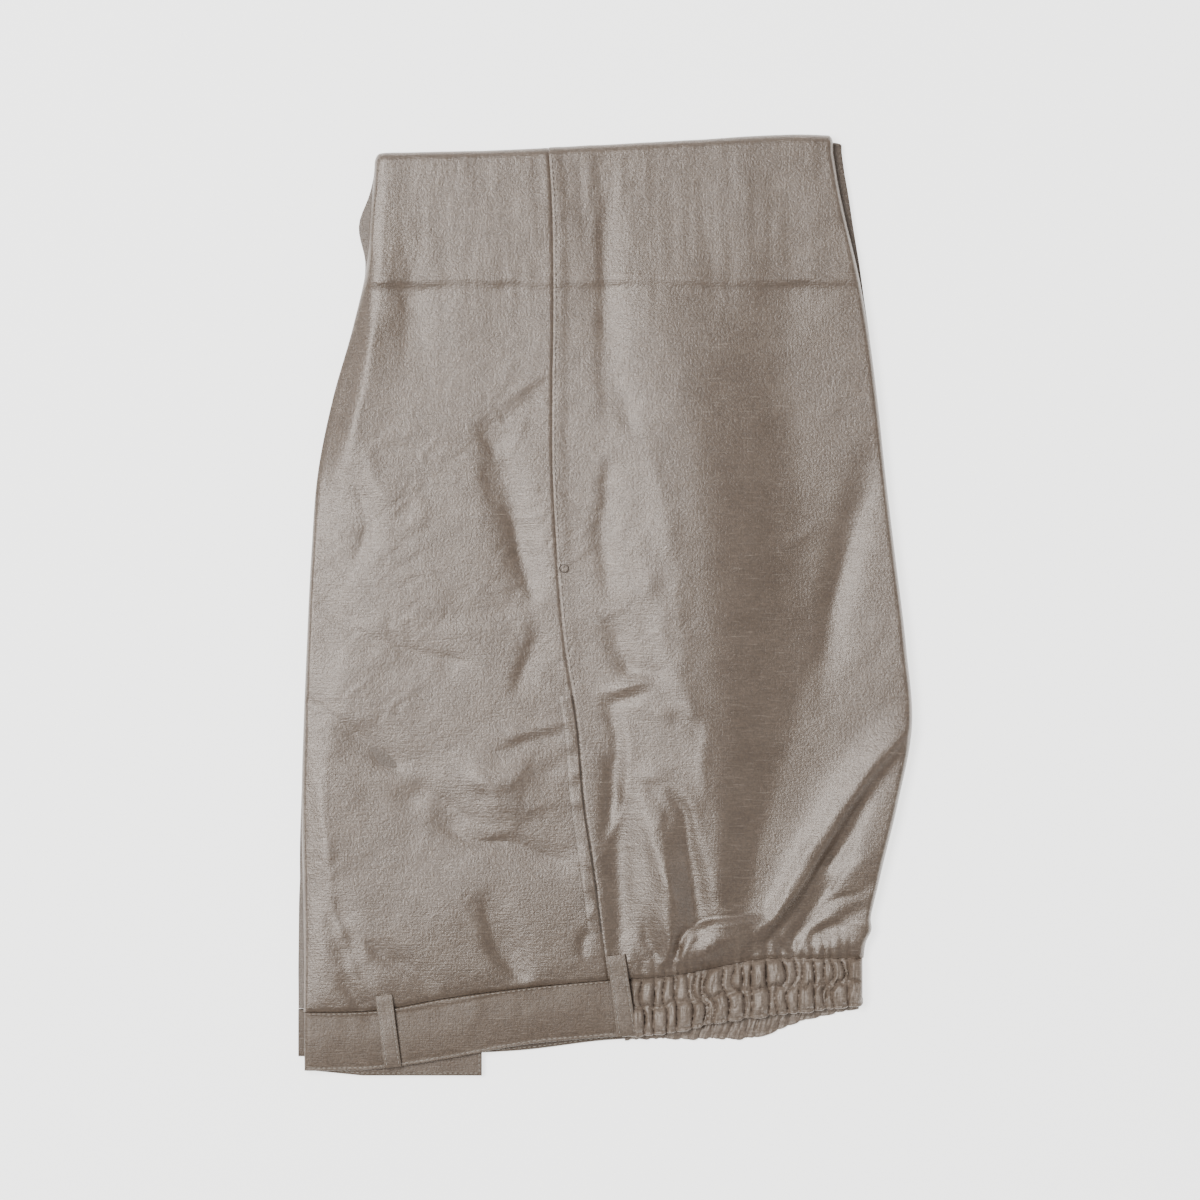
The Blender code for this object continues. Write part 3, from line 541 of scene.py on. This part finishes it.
def makeSilk(key):
    look = silk[key]
    cloth, shader = newMaterial(key + "Silk")
    nodes, links = cloth.node_tree.nodes, cloth.node_tree.links
    spot = nodes.new("ShaderNodeTexCoord")

    def noise(size, detail, roughness):
        mapping = nodes.new("ShaderNodeMapping")
        setInputs(mapping, {"Scale": tuple(1 / s for s in size)})
        links.new(spot.outputs["Object"], mapping.inputs["Vector"])
        texture = nodes.new("ShaderNodeTexNoise")
        setInputs(texture, {"Scale": 1.0, "Detail": detail, "Roughness": roughness})
        links.new(mapping.outputs["Vector"], texture.inputs["Vector"])
        return texture.outputs["Fac"]

    def ramp(source, low, high, lowColour, highColour=(1.0, 1.0, 1.0)):
        steps = nodes.new("ShaderNodeValToRGB")
        for stop, place, shade in zip(steps.color_ramp.elements, (low, high), (lowColour, highColour)):
            stop.position = place
            stop.color = (*shade, 1)
        links.new(source, steps.inputs["Fac"])
        return steps.outputs["Color"]

    def blend(kind, first, second):
        mix = nodes.new("ShaderNodeMix")
        mix.data_type = "RGBA"
        mix.blend_type = kind
        setInputs(mix, {"Factor": 1.0})
        links.new(first, mix.inputs["A"])
        links.new(second, mix.inputs["B"])
        return mix.outputs["Result"]

    def calc(kind, first, second):
        step = nodes.new("ShaderNodeMath")
        step.operation = kind
        links.new(first, step.inputs[0])
        if isinstance(second, float):
            step.inputs[1].default_value = second
        else:
            links.new(second, step.inputs[1])
        return step.outputs[0]

    slub = noise((silk["slubLength"], silk["slubHeight"], 0.01), 3.0, 0.6)
    thread = noise((silk["slubLength"] * 0.4, silk["slubHeight"] * 0.45, 0.01), 2.0, 0.5)
    warp = noise((silk["grain"] * 0.6, 0.012, 0.01), 2.0, 0.5)
    grain = noise((silk["grain"],) * 3, 3.0, 0.65)
    patch = noise((0.022, 0.016, 0.02), 3.0, 0.55)
    base = ramp(patch, 0.32, 0.68, look["dark"], look["light"])
    slubTone = ramp(slub, 0.56, 0.72, (0.92, 0.92, 0.92))
    threadTone = ramp(thread, 0.40, 0.62, (0.80, 0.80, 0.79))
    grainTone = ramp(grain, 0.40, 0.60, (0.70, 0.69, 0.68))
    slubLight = ramp(slub, 0.60, 0.74, (0.0, 0.0, 0.0), (0.12, 0.108, 0.096))
    colour = blend("ADD", base, slubLight)
    for tone in (slubTone, threadTone, grainTone):
        colour = blend("MULTIPLY", colour, tone)
    links.new(colour, shader.inputs["Base Color"])
    weave = calc("MULTIPLY", slub, 0.9)
    for source, share in ((thread, 0.5), (grain, 1.9), (warp, 0.35)):
        weave = calc("ADD", weave, calc("MULTIPLY", source, share))
    bump = nodes.new("ShaderNodeBump")
    setInputs(bump, {"Strength": 1.0, "Distance": silk["bump"]})
    links.new(weave, bump.inputs["Height"])
    links.new(bump.outputs["Normal"], shader.inputs["Normal"])
    rough = nodes.new("ShaderNodeMapRange")
    setInputs(rough, {"To Min": look["rough"] - 0.05, "To Max": look["rough"] + 0.07})
    links.new(grain, rough.inputs["Value"])
    links.new(rough.outputs["Result"], shader.inputs["Roughness"])
    setInputs(shader, {
        "IOR": look["shine"], "Specular IOR Level": 0.5, "Specular Tint": (*silk["tint"], 1),
        "Sheen Weight": 0.12, "Sheen Roughness": 0.4,
    })
    return cloth


def makeThread(name, dark, light):
    thread, shader = newMaterial(name)
    nodes, links = thread.node_tree.nodes, thread.node_tree.links
    place = nodes.new("ShaderNodeTexCoord")
    twist = nodes.new("ShaderNodeTexNoise")
    setInputs(twist, {"Scale": 2600.0})
    links.new(place.outputs["Object"], twist.inputs["Vector"])
    tone = nodes.new("ShaderNodeValToRGB")
    tone.color_ramp.elements[0].color = (*dark, 1)
    tone.color_ramp.elements[1].color = (*light, 1)
    links.new(twist.outputs["Fac"], tone.inputs["Fac"])
    links.new(tone.outputs["Color"], shader.inputs["Base Color"])
    setInputs(shader, {"Roughness": 0.5})
    return thread


panelSilk, bandSilk, gatherPaintedLightSilk, innerPaintedShadeSilk, loopPaintedLightSilk = (
    makeSilk(key) for key in ("panel", "band", "gather", "inner", "loop"))
sewingThread = makeThread("sewingThread", (0.26, 0.22, 0.18), (0.46, 0.42, 0.37))
# on the loose thread loop this dark colour is painted shade, standing in for the shadow round a lighter
# thread
seamThread = makeThread("seamThread", (0.055, 0.040, 0.030), (0.110, 0.082, 0.062))
print("materials ready")


# front and back of the upper leg

panels = {
    "frontColumns": 88, "backColumns": 104, "rollSteps": 8, "rows": 345, "foldSteps": 22, "underRows": 34,
    "nearSeam": (0.0, 0.0003, 0.0007, 0.0012, 0.0019, 0.0027, 0.0034, 0.0040, 0.0047),
    "seamGap": 0.00006, "freeGap": 0.0008, "groove": 0.0003, "grooveWidth": 0.0008,
    "gatherDepth": 0.0019, "tuck": 0.0008, "bump": 0.0022, "bumpY": -0.194, "bumpLength": 0.0050,
}


def panelColumns(side):
    # each column: where it is counted from, its distance or share of the width, and how far it has rolled
    angles = np.radians(np.linspace(0, 90, panels["rollSteps"] + 1))
    roll = garment["rollWidth"] * (1 - np.cos(angles))
    near = np.array(panels["nearSeam"])
    count = panels[side + "Columns"]
    shares = np.linspace(0, 1, count + 2)[1:-1]
    kinds = [("edge", d, a) for d, a in zip(roll, angles)] + [("free", s, math.pi / 2) for s in shares]
    kinds += [("seam", d, math.pi / 2) for d in near[::-1]]
    return kinds


def panelX(side, kind, value, y):
    outer, seam = edge("left" if side == "front" else "right", y), edge("seam", y)
    if side == "back":
        outer = outer + panels["bump"] * np.exp(-((y - panels["bumpY"]) / panels["bumpLength"]) ** 2)
    way = 1 if side == "front" else -1
    if kind == "edge":
        return outer + way * value
    if kind == "seam":
        return seam - way * (value + panels["seamGap"])
    start = outer + way * garment["rollWidth"]
    end = seam - way * (panels["nearSeam"][-1] + panels["freeGap"])
    return start + value * (end - start)


# the elastic's pleats show in the back panel too
elastic = {
    "gathers": 23, "perGather": 14, "rows": 52, "wall": 0.0005, "tuckIn": 0.0012, "startX": 0.0145,
    "holdLines": (0.02, 0.51, 0.97), "channels": ((0.02, 0.49), (0.51, 0.47)),
    "drift": (0.0004, 0.0012, 0.0022, 0.0008), "underFloor": 0.0007,
    "outer": {"level": 0.0076, "swing": 0.0053, "puff": 0.0006, "lowName": "lower", "seed": 5,
              "startShift": 0.0001, "endShift": 0.0, "slant": 0.0},
    "under": {"level": 0.0024, "swing": 0.0018, "puff": 0.0004, "lowName": "underLower", "seed": 9,
              "startShift": 0.0034, "endShift": -0.0015, "slant": 0.012},
}


def gatherMarks(seed):
    steps = np.random.default_rng(seed).uniform(0.55, 1.45, elastic["gathers"])
    marks = np.concatenate(([0], np.cumsum(steps)))
    return elastic["startX"] + marks / marks[-1] * (garment["elasticEnd"] - elastic["startX"])


def gatherWave(x):
    # rounded pleats with sharp valleys; the lines lie unevenly
    seed = elastic["outer"]["seed"]
    marks = gatherMarks(seed)
    i = np.clip(np.searchsorted(marks, x, side="right") - 1, 0, len(marks) - 2)
    u = np.clip((x - marks[i]) / (marks[i + 1] - marks[i]), 0, 1)
    size = np.random.default_rng(seed + 1).uniform(0.55, 1.15, len(marks))
    return np.clip(np.sin(np.pi * u), 0, 1) ** 0.6 * size[i]


def panelGrid(side):
    columns = panelColumns(side)
    along = (np.arange(panels["rows"] + 1) / panels["rows"]) ** 1.12
    turns = np.radians(np.linspace(0, 180, panels["foldSteps"] + 1))[1:]
    grid = np.zeros((panels["rows"] + 1 + panels["foldSteps"] + panels["underRows"], len(columns), 3))
    for c, (kind, value, angle) in enumerate(columns):
        roll = 1 - math.sin(angle)
        x = panelX(side, kind, value, np.zeros(len(along)))
        for _ in range(6):
            foldY = curve(foldLine["x"], foldLine["y"], x) - garment["cornerPull"] * roll
            start = waistLine("seam", x)
            y = start + along * (foldY - garment["foldRadius"] - start)
            x = panelX(side, kind, value, y)
        grid[:len(along), c, 0], grid[:len(along), c, 1] = x, y
        grid[:len(along), c, 2] = roll
    x, y, roll = (grid[:len(along), :, k].copy() for k in range(3))
    z = clothHeight(x, y)
    z -= panels["groove"] * np.exp(-((x - edge("seam", y)) / panels["grooveWidth"]) ** 2)
    rise = y - waistLine("seam", x)
    if side == "back":
        z += seamLift(x, y)
        reach = smooth((x - garment["jointX"] - 0.006) / 0.01)
        z += panels["gatherDepth"] * (gatherWave(x) - 0.5) * np.exp(-(np.abs(rise) / 0.010) ** 1.5) * reach
    z -= panels["tuck"] * np.exp(-(rise / 0.0014) ** 2)
    z = garment["rimHeight"] + (z - garment["rimHeight"]) * (1 - roll)
    grid[:len(along), :, 2] = z
    lastX, lastY, radius = x[-1], y[-1], z[-1] / 2
    for i, turn in enumerate(turns):
        grid[len(along) + i] = np.stack(
            (lastX, lastY + radius * np.sin(turn), radius * (1 + np.cos(turn))), axis=-1)
    outerName = "left" if side == "front" else "right"
    outer, seam = edge(outerName, lastY), edge("seam", lastY)
    hemOuter, hemSeam = garment["hem"][outerName], garment["hem"]["seam"]
    share = (lastX - outer) / (seam - outer)
    for i in range(panels["underRows"]):
        t = (i + 1) / panels["underRows"]
        lowOuter, lowSeam = (1 - t) * outer + t * hemOuter, (1 - t) * seam + t * hemSeam
        lowY = lastY + (garment["hemY"] - lastY) * t
        grid[len(along) + len(turns) + i] = np.stack(
            (lowOuter + share * (lowSeam - lowOuter), lowY, np.zeros(len(lastX))), axis=-1)
    return grid if side == "front" else grid[:, ::-1]


frontCloth = addSheet("frontCloth", panelGrid("front"), panelSilk, garment["clothWall"])
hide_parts("front_panel")
backCloth = addSheet("backCloth", panelGrid("back"), panelSilk, garment["clothWall"])
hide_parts("back_panel")
print("leg panels ready", len(frontCloth.data.polygons), len(backCloth.data.polygons))


# the other leg and the hidden layers, seen as laps along both sides

innerLayers = {
    "rows": 130, "across": 40, "foldRings": 7, "lapSteps": 33, "laps": 4, "depth": 0.0020,
    "setBack": (0.0, 0.0006, 0.00024, 0.00096), "under": 0.0026, "uneven": 0.0005, "rim": 0.0044,
    "inset": 0.0024, "waistGap": 0.0017, "floor": 0.0013,
}


def makeInner():
    drop = np.linspace(0.06, 0.97, innerLayers["lapSteps"])
    lap = np.floor(drop * innerLayers["laps"]).astype(int)
    lobe = np.abs(np.sin(np.pi * innerLayers["laps"] * drop)) ** 0.5
    along = (np.arange(innerLayers["rows"] + 1) / innerLayers["rows"]) ** 1.1
    shares = np.linspace(0, 1, innerLayers["across"])
    inward = smooth(np.minimum(shares, 1 - shares) * 14)
    rings, foldRings = [], innerLayers["foldRings"]
    for r in range(len(along) + foldRings):
        turn = 0 if r < len(along) else (r - len(along) + 1) / (foldRings + 1) * math.pi / 2
        part = along[min(r, len(along) - 1)]
        y = np.full(len(shares), part * 0.5 - 0.23)
        for _ in range(5):
            left, right = edge("left", y) + innerLayers["inset"], edge("right", y) - innerLayers["inset"]
            x = left + shares * (right - left)
            start = waistLine("seam", x) + innerLayers["waistGap"]
            y = start + part * (curve(foldLine["x"], foldLine["y"], x) - garment["foldRadius"] - start)
        z = formHeight(x, y) - innerLayers["under"]
        z = innerLayers["rim"] + (z - innerLayers["rim"]) * inward
        floor = np.where(y > garment["hemY"], innerLayers["floor"], 0.0)
        fade = math.cos(turn)
        if turn:
            middle = z / 2 + 0.0004
            y = y + ((z + innerLayers["under"]) / 2 - 0.0016) * math.sin(turn)
            z, floor = (middle + (height - middle) * fade for height in (z, floor))
        top, low = (np.stack((x, y, height), axis=-1) for height in (z, floor))
        sides = []
        for end, sign, name, under in ((-1, 1, "right", "underRight"), (0, -1, "left", "underLeft")):
            points = top[end] + drop[:, None] * (low[end] - top[end])
            level = lap * 3.1 + (20 if sign > 0 else 0)
            uneven = innerLayers["uneven"] * patchNoise(top[end][1] + 0 * level, level * 0.03, 0.03, 3)
            uneven = uneven - np.array(innerLayers["setBack"])[lap]
            reach = edge(name, top[end][1]) + sign * (edge(under, top[end][1]) + uneven)
            inside = top[end][0] - sign * innerLayers["depth"]
            points[:, 0] = top[end][0] + ((inside + (reach - inside) * lobe) - top[end][0]) * fade
            sides.append(points)
        rings.append(np.concatenate((top, sides[0], low[::-1], sides[1][::-1])))
    # the hidden layers' silk carries painted shade
    return addRings("innerLayers", np.array(rings), innerPaintedShadeSilk)


innerCloth = makeInner()
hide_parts("other_leg")
print("inner layers ready")


# flat waistbands and tab

band = {
    "columns": 150, "across": 26, "wall": 0.0019, "start": -0.1797, "pucker": 0.00012,
    "endRoll": 0.004, "underStart": -0.1836,
    "tabStart": -0.1752, "tabEnd": -0.0735, "tabWall": 0.0017, "tabLow": -0.2784, "tabWidth": 0.032,
}


def roundedProfile(across, wall, width):
    # one ring round a strip: v runs from 0 at the lower edge to 1 at the upper edge
    angles = np.radians(np.linspace(0, 180, 9))
    radius = wall / 2
    low = [(radius * (1 - math.sin(a)) / width, radius * (1 + math.cos(a)) - wall) for a in angles[::-1]]
    v = np.linspace(0, 1, across + 2)[1:-1]
    inner = radius / width
    top = [(inner + t * (1 - 2 * inner), 0.0) for t in v]
    high = [(1 - radius * (1 - math.sin(a)) / width, radius * (1 + math.cos(a)) - wall) for a in angles]
    base = [(inner + t * (1 - 2 * inner), -wall) for t in v[::-3]]
    return np.array(low + top + high + base)


def makeBand(name, xs, lowLine, highLine, heightAt, wall, across=12):
    profile = roundedProfile(across, wall, garment["bandWidth"])
    x = xs[:, None] + np.zeros(len(profile))
    low, high = lowLine(x), highLine(x)
    y = low + profile[:, 0] * (high - low)
    rings = np.stack((x, y, heightAt(x, y) + profile[:, 1]), axis=-1)
    return addRings(name, rings, bandSilk)


def bandHeight(x, y):
    z = formHeight(x, y)
    down = (y - waistLine("lower", x)) / garment["bandWidth"]
    stitchPull = np.exp(-((down - 0.055) / 0.03) ** 2) + np.exp(-((down - 0.96) / 0.03) ** 2)
    z = z + 0.00045 * patchNoise(x, y * 0.5, 0.019, 31) + 0.00016 * patchNoise(x, y * 0.6, 0.007, 32)
    z = z - (0.00022 - band["pucker"] * np.sin(x * 2100)) * stitchPull
    z = z + 0.0005 * (np.exp(-((down - 1.0) / 0.035) ** 2) + np.exp(-(down / 0.035) ** 2))
    z = z + 0.0007 * np.sin(np.pi * np.clip(down, 0, 1)) * (1 + 0.5 * patchNoise(x, y * 0, 0.030, 35))
    roll = np.clip((x - band["start"]) / band["endRoll"], 0, 1)
    return z - 0.0022 * (1 - np.sqrt(1 - (1 - roll) ** 2))


bandX = np.concatenate((
    band["start"] + band["endRoll"] * (1 - np.cos(np.linspace(0.05, 1.5, 9))),
    np.linspace(band["start"] + band["endRoll"] + 0.0002, garment["jointX"] - 0.0001, band["columns"])))
frontBand = makeBand("frontBand", bandX, lambda x: waistLine("lower", x),
                     lambda x: waistLine("seam", x) - garment["gap"],
                     bandHeight, band["wall"], band["across"])
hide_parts("waistband_front")


def underHeight(x, y):
    return garment["underBand"] + 0.0001 + 0.00015 * patchNoise(x, y, 0.012, 33)


underX = np.linspace(band["underStart"], garment["jointX"] + 0.0032, 90)
underBand = makeBand("underBand", underX, lambda x: waistLine("underLower", x),
                     lambda x: waistLine("seam", x) + 0.0014, underHeight, garment["underBand"])
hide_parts("waistband_front_under")


def tabLower(x):
    return band["tabLow"] - 0.0030 * np.clip((x - band["tabStart"]) / 0.03, 0, 1)


def tabHeight(x, y):
    return garment["underBand"] + garment["gap"] + band["tabWall"] + 0.00012 * patchNoise(x, y, 0.011, 34)


waistTab = makeBand("waistTab", np.linspace(band["tabStart"], band["tabEnd"], 60), tabLower,
                    lambda x: tabLower(x) + band["tabWidth"], tabHeight, band["tabWall"])
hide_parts("waistband_tab")
print("flat waistbands ready")


# gathered waistbands on elastic

def gatheredSheet(level, swing, puff, lowName, seed, startShift, endShift, slant):
    # lines between pleats wander on their way down; the rows of sewing hold the pleats flat
    columns = elastic["gathers"] * elastic["perGather"]
    marks = gatherMarks(seed)
    rng = np.random.default_rng(seed + 7)
    drift = rng.normal(0, 1, (4, len(marks))) * np.array(elastic["drift"])[:, None]
    drift[3] = drift[2] + 0.4 * drift[3]
    drift[:, 0] = drift[:, -1] = 0
    size = rng.uniform(0.65, 1.1, (4, len(marks)))
    x = np.linspace(garment["jointX"] + startShift, garment["elasticEnd"] + endShift, columns)
    rows = np.linspace(0, 1, elastic["rows"])
    sheet = np.zeros((elastic["rows"], columns, 3))
    stations = np.array((0.0, 0.44, 0.58, 1.0))
    for r, down in enumerate(rows):
        weights = np.array([curve(stations, np.eye(4)[k], np.array(down)) for k in range(4)])
        lines = np.sort(marks + weights @ drift)
        swell = weights @ size
        i = np.clip(np.searchsorted(lines, x, side="right") - 1, 0, len(lines) - 2)
        gaps = lines[i + 1] - lines[i]
        u = np.clip((x - lines[i]) / gaps, 0, 1)
        wide = np.clip(gaps / 0.0068, 0.25, 1.5) ** 0.8
        pleat = np.clip(np.sin(np.pi * (u + 0.10 * np.sin(2 * np.pi * u))), 0, 1) ** 0.31 * wide
        held = np.exp(-((down - np.array(elastic["holdLines"])) / 0.05) ** 2).max()
        first, width = elastic["channels"][0 if down < elastic["holdLines"][1] else 1]
        lift = puff * max(math.sin(math.pi * (down - first) / width), 0) ** 0.7
        fade = smooth((x - garment["jointX"] - 0.002) / 0.006)
        ragged = 0.0005 * patchNoise(x * 2.6, x * 0 + down * 0.02, 0.007, seed + 21)
        high = waistLine("seam", x) - garment["gap"]
        low = waistLine(lowName, x)
        ruffle = 0.0009 * (1 - held) * np.sin(2 * np.pi * u) * max(0, 2 * down - 1.2)
        middle = 0.0012 * np.exp(-((down - 0.51) / 0.12) ** 2)
        middle = middle * patchNoise(x * 4.0, x * 0, 0.013, seed + 22)
        tuckIn = (elastic["tuckIn"] + garment["gap"]) * max(0, 1 - down / 0.04)
        tuckIn = tuckIn * (0.45 + 0.55 * smooth((garment["elasticEnd"] - 0.002 - x) / 0.006))
        y = high + (low - high) * down + ruffle + middle + tuckIn
        y = y + ragged * math.sin(math.pi * min(down, 0.98))
        y = y - 0.0010 * (pleat - 0.6) * max(0, down - 0.86) / 0.14 * fade
        z = level + lift + swing * (pleat - 0.5) * swell[i] * (1 - 0.4 * held) * fade - 0.0004 * held
        z = z + (level - 0.0012 - z) * max(0, 1 - down / 0.04)
        z = z + 0.00045 * patchNoise(x * 2.6, y * 0.7, 0.0042, seed + 20)
        leaning = slant * (down - 0.5) * smooth((garment["elasticEnd"] - x) / 0.03)
        shift = (0.0005 * np.sin(2 * np.pi * u) - leaning) * fade
        sheet[r] = np.stack((x + shift, y, z), axis=-1)
    # the lower edge turns under, in steps out and down
    turns = ((0.5, 0.3), (0.8, 0.9), (0.5, 1.5), (-0.8, 1.8), (-3.0, 1.9))
    lip = [sheet[-1] - np.array((0, out, fall)) * mm for out, fall in turns]
    return np.concatenate((sheet, lip))[::-1]


# both gathered waistbands take the silk with painted light
outerGrid = gatheredSheet(**elastic["outer"])
elasticBand = addSheet("elasticBand", outerGrid, gatherPaintedLightSilk, elastic["wall"])
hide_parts("waistband_back")
underGrid = gatheredSheet(**elastic["under"])
underGrid[:, :, 2] = np.maximum(underGrid[:, :, 2], elastic["underFloor"])
underElastic = addSheet("underElastic", underGrid, gatherPaintedLightSilk, elastic["wall"])
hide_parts("waistband_back_under")
print("gathered waistbands ready")


# belt loops and the pocket edge

strips = {
    "wall": 0.0011, "bow": 0.0015, "lift": 0.0008, "steps": 40, "across": 10,
    "slant": 0.12, "stitchedAt": (0.14, 0.86), "pocketRows": 110, "pocketAcross": 12,
    "front": {"top": (-0.1371, -0.2334), "foot": (-0.1317, -0.2766), "width": (0.0102, 0.0102)},
    "side": {"top": (0.0015, -0.2094), "foot": (0.0075, -0.2578), "width": (0.0108, 0.0120)},
    "pocketTop": -0.0534, "pocketFoot": -0.1950, "pocketWidth": 0.0084, "pocketInset": 0.0008,
}


def makeLoop(name, spec, node):
    wall, count = strips["wall"], strips["steps"]
    (tx, ty), (bx, by) = spec["top"], spec["foot"]
    profile = roundedProfile(strips["across"], wall, strips["side"]["width"][0])
    rings = np.zeros((count, len(profile), 3))
    for r in range(count):
        t = r / (count - 1)
        width = spec["width"][1] + t * (spec["width"][0] - spec["width"][1])
        x = bx + t * (tx - bx) + profile[:, 0] * width
        y = by + t * (ty - by) + strips["slant"] * profile[:, 0] * width
        seat = formHeight(x, y).max() + strips["lift"] + wall
        sides = sum(np.exp(-((profile[:, 0] - share) / 0.05) ** 2) for share in strips["stitchedAt"])
        dip = np.where(profile[:, 1] > -wall * 0.4, 0.00016 * sides, 0)
        ends = 0.0004 * (math.exp(-(t / 0.04) ** 2) + math.exp(-((1 - t) / 0.04) ** 2))
        z = seat + profile[:, 1] + strips["bow"] * math.sin(math.pi * t) - dip - ends
        z = z + 0.00014 * patchNoise(x, y, 0.005, 41)
        rings[r] = np.stack((x, y, z), axis=-1)
    # the loops' silk carries a painted highlight
    loop = addRings(name, rings, loopPaintedLightSilk)
    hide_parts(node)
    return loop


frontLoop = makeLoop("frontLoop", strips["front"], "belt_loop_front")
sideLoop = makeLoop("sideLoop", strips["side"], "belt_loop_side")


def makePocketEdge():
    inset, width = strips["pocketInset"], strips["pocketWidth"]
    profile = roundedProfile(strips["pocketAcross"], strips["wall"], width)
    y = np.linspace(strips["pocketFoot"], strips["pocketTop"], strips["pocketRows"])[:, None]
    y = y + np.zeros(len(profile))
    x = edge("seam", y) - inset - (1 - profile[:, 0]) * (width - inset)
    seat = clothHeight(x, y) + garment["gap"] + strips["wall"]
    away = np.exp(-((profile[:, 0] - 0.1) / 0.07) ** 2)
    z = seat + profile[:, 1] - 0.0002 * away + 0.00022 * patchNoise(x, y, 0.009, 43)
    z = z + 0.00030 * patchNoise(x * 0.6, y * 1.6, 0.0075, 44) + 0.0001 * np.sin(np.pi * profile[:, 0])
    rings = np.stack((x, y, z), axis=-1)
    pocket = addRings("pocketEdge", rings, panelSilk)
    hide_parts("pocket_edge")
    return pocket


pocketEdge = makePocketEdge()
print("loops and pocket edge ready")


# sewing: one stitch is modelled, then copied along each seam

stitches = {"length": 0.0023, "pitch": 0.0031, "seamPitch": 0.0034, "thick": 0.00046, "sink": 0.00006}


def modelStitch():
    bpy.ops.mesh.primitive_uv_sphere_add(segments=6, ring_count=5, radius=0.5, location=(0, 0, 0))
    stitch = bpy.context.object
    stitch.name = "stitchMaster"
    stitch.scale = (stitches["thick"], stitches["length"], stitches["thick"] * 0.8)
    bpy.ops.object.transform_apply(location=True, rotation=True, scale=True)
    verts = np.array([v.co for v in stitch.data.vertices])
    faces = [list(p.vertices) for p in stitch.data.polygons]
    bpy.data.objects.remove(stitch, do_unlink=True)
    return verts, faces


deselectAll()
stitchVerts, stitchFaces = modelStitch()


def sew(name, lines, heightAt, pitch=stitches["pitch"], thread=sewingThread):
    # each line is a list of places, and one stitch lies along each step of the pitch
    ends = []
    for line in lines:
        points = np.array(line, dtype=float)
        length = np.concatenate(([0], np.cumsum(np.hypot(*np.diff(points, axis=0).T))))
        for spot in np.arange(pitch / 2, length[-1], pitch):
            ends.append([[np.interp(spot + d, length, points[:, k]) for k in range(2)]
                         for d in (-stitches["length"] / 2, stitches["length"] / 2)])
    ends = np.array(ends)
    ends = np.concatenate((ends, heightAt(ends[:, :, 0], ends[:, :, 1])[:, :, None]), axis=2)
    verts, faces = [], []
    for start, end in ends:
        ahead = (end - start) / np.linalg.norm(end - start)
        aside = np.cross(ahead, (0, 0, 1))
        aside = aside / np.linalg.norm(aside)
        up = np.cross(aside, ahead)
        turned = stitchVerts @ np.array((aside, ahead, up)) + (start + end) / 2
        turned = turned + up * (stitches["thick"] * 0.4 - stitches["sink"])
        first = len(verts)
        verts.extend(turned.tolist())
        faces.extend([[first + i for i in face] for face in stitchFaces])
    return addPiece(name, verts, faces, thread, 60)


def seamLine(offset, start, end, count):
    y = np.linspace(start, end, count)
    return np.stack((edge("seam", y) + offset, y), axis=-1)


def bandLine(name, offset, start, end):
    x = np.linspace(start, end, 90)
    return np.stack((x, waistLine(name, x) + offset), axis=-1)


def onBack(x, y):
    return clothHeight(x, y) + seamLift(x, y)


def onPocket(x, y):
    return clothHeight(x, y) + garment["gap"] + strips["wall"] - 0.0002


sideStitch = sew("sideStitch", [seamLine(0.0022, -0.048, 0.268, 150)], onBack,
                 stitches["seamPitch"], seamThread)
pocketLine = seamLine(-0.0075, strips["pocketFoot"] + 0.001, strips["pocketTop"] - 0.001, 60)
pocketStitch = sew("pocketStitch", [pocketLine], onPocket, stitches["seamPitch"])
bandLines = [bandLine("lower", 0.0017, band["start"] + 0.004, 0.0070),
             bandLine("seam", -0.0012, band["start"] + 0.004, 0.0030)]
bandStitch = sew("bandStitch", bandLines, bandHeight)
tabX = np.linspace(band["tabStart"] + 0.004, band["tabEnd"] - 0.0016, 40)
tabLine = np.stack((tabX, tabLower(tabX) + 0.0016), axis=-1)
tabLines = [tabLine, [tabLine[-1], tabLine[-1] + (0, 0.014)]]
tabStitch = sew("tabStitch", tabLines, tabHeight)
underStitch = sew("underStitch", [bandLine("underLower", 0.0016, band["underStart"] + 0.004, 0.0060)],
                  underHeight)


def sewLoop(name, spec, loop):
    (tx, ty), (bx, by) = spec["top"], spec["foot"]
    lines = []
    for share in strips["stitchedAt"]:
        over, under = share * spec["width"][0], share * spec["width"][1]
        top = (tx + over, ty - 0.0012 + strips["slant"] * over)
        foot = (bx + under, by + 0.0012 + strips["slant"] * under)
        lines.append([foot, top])
    surface = np.array([v.co for v in loop.data.vertices])

    def onLoop(x, y):
        away = np.hypot(surface[:, 0] - x[..., None], surface[:, 1] - y[..., None])
        return surface[np.argsort(away, axis=-1)[..., :12], 2].max(axis=-1)

    return sew(name, lines, onLoop)


frontLoopStitch = sewLoop("frontLoopStitch", strips["front"], frontLoop)
sideLoopStitch = sewLoop("sideLoopStitch", strips["side"], sideLoop)
print("sewing ready")


# a small loose loop of thread where the side stitching ends

threadLoop = {"x": -0.0243, "y": 0.0224, "radius": 0.0025, "thick": 0.00026}


def makeThreadLoop():
    deselectAll()
    bpy.ops.mesh.primitive_torus_add(major_segments=28, minor_segments=6, major_radius=threadLoop["radius"],
                                     minor_radius=threadLoop["thick"], location=(0, 0, 0))
    ring = bpy.context.object
    ring.name = "threadRing"
    places = np.array([vert.co for vert in ring.data.vertices]) * (1.08, 0.94, 1)
    places += (threadLoop["x"], threadLoop["y"], threadLoop["thick"] + 0.0006)
    places[:, 2] += clothHeight(places[:, 0], places[:, 1])
    for vert, place in zip(ring.data.vertices, places):
        vert.co = place
    # the loop takes the dark thread: painted shade for its shadow
    ring.data.materials.append(seamThread)
    bpy.ops.object.shade_smooth()
    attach(ring, "root")


makeThreadLoop()
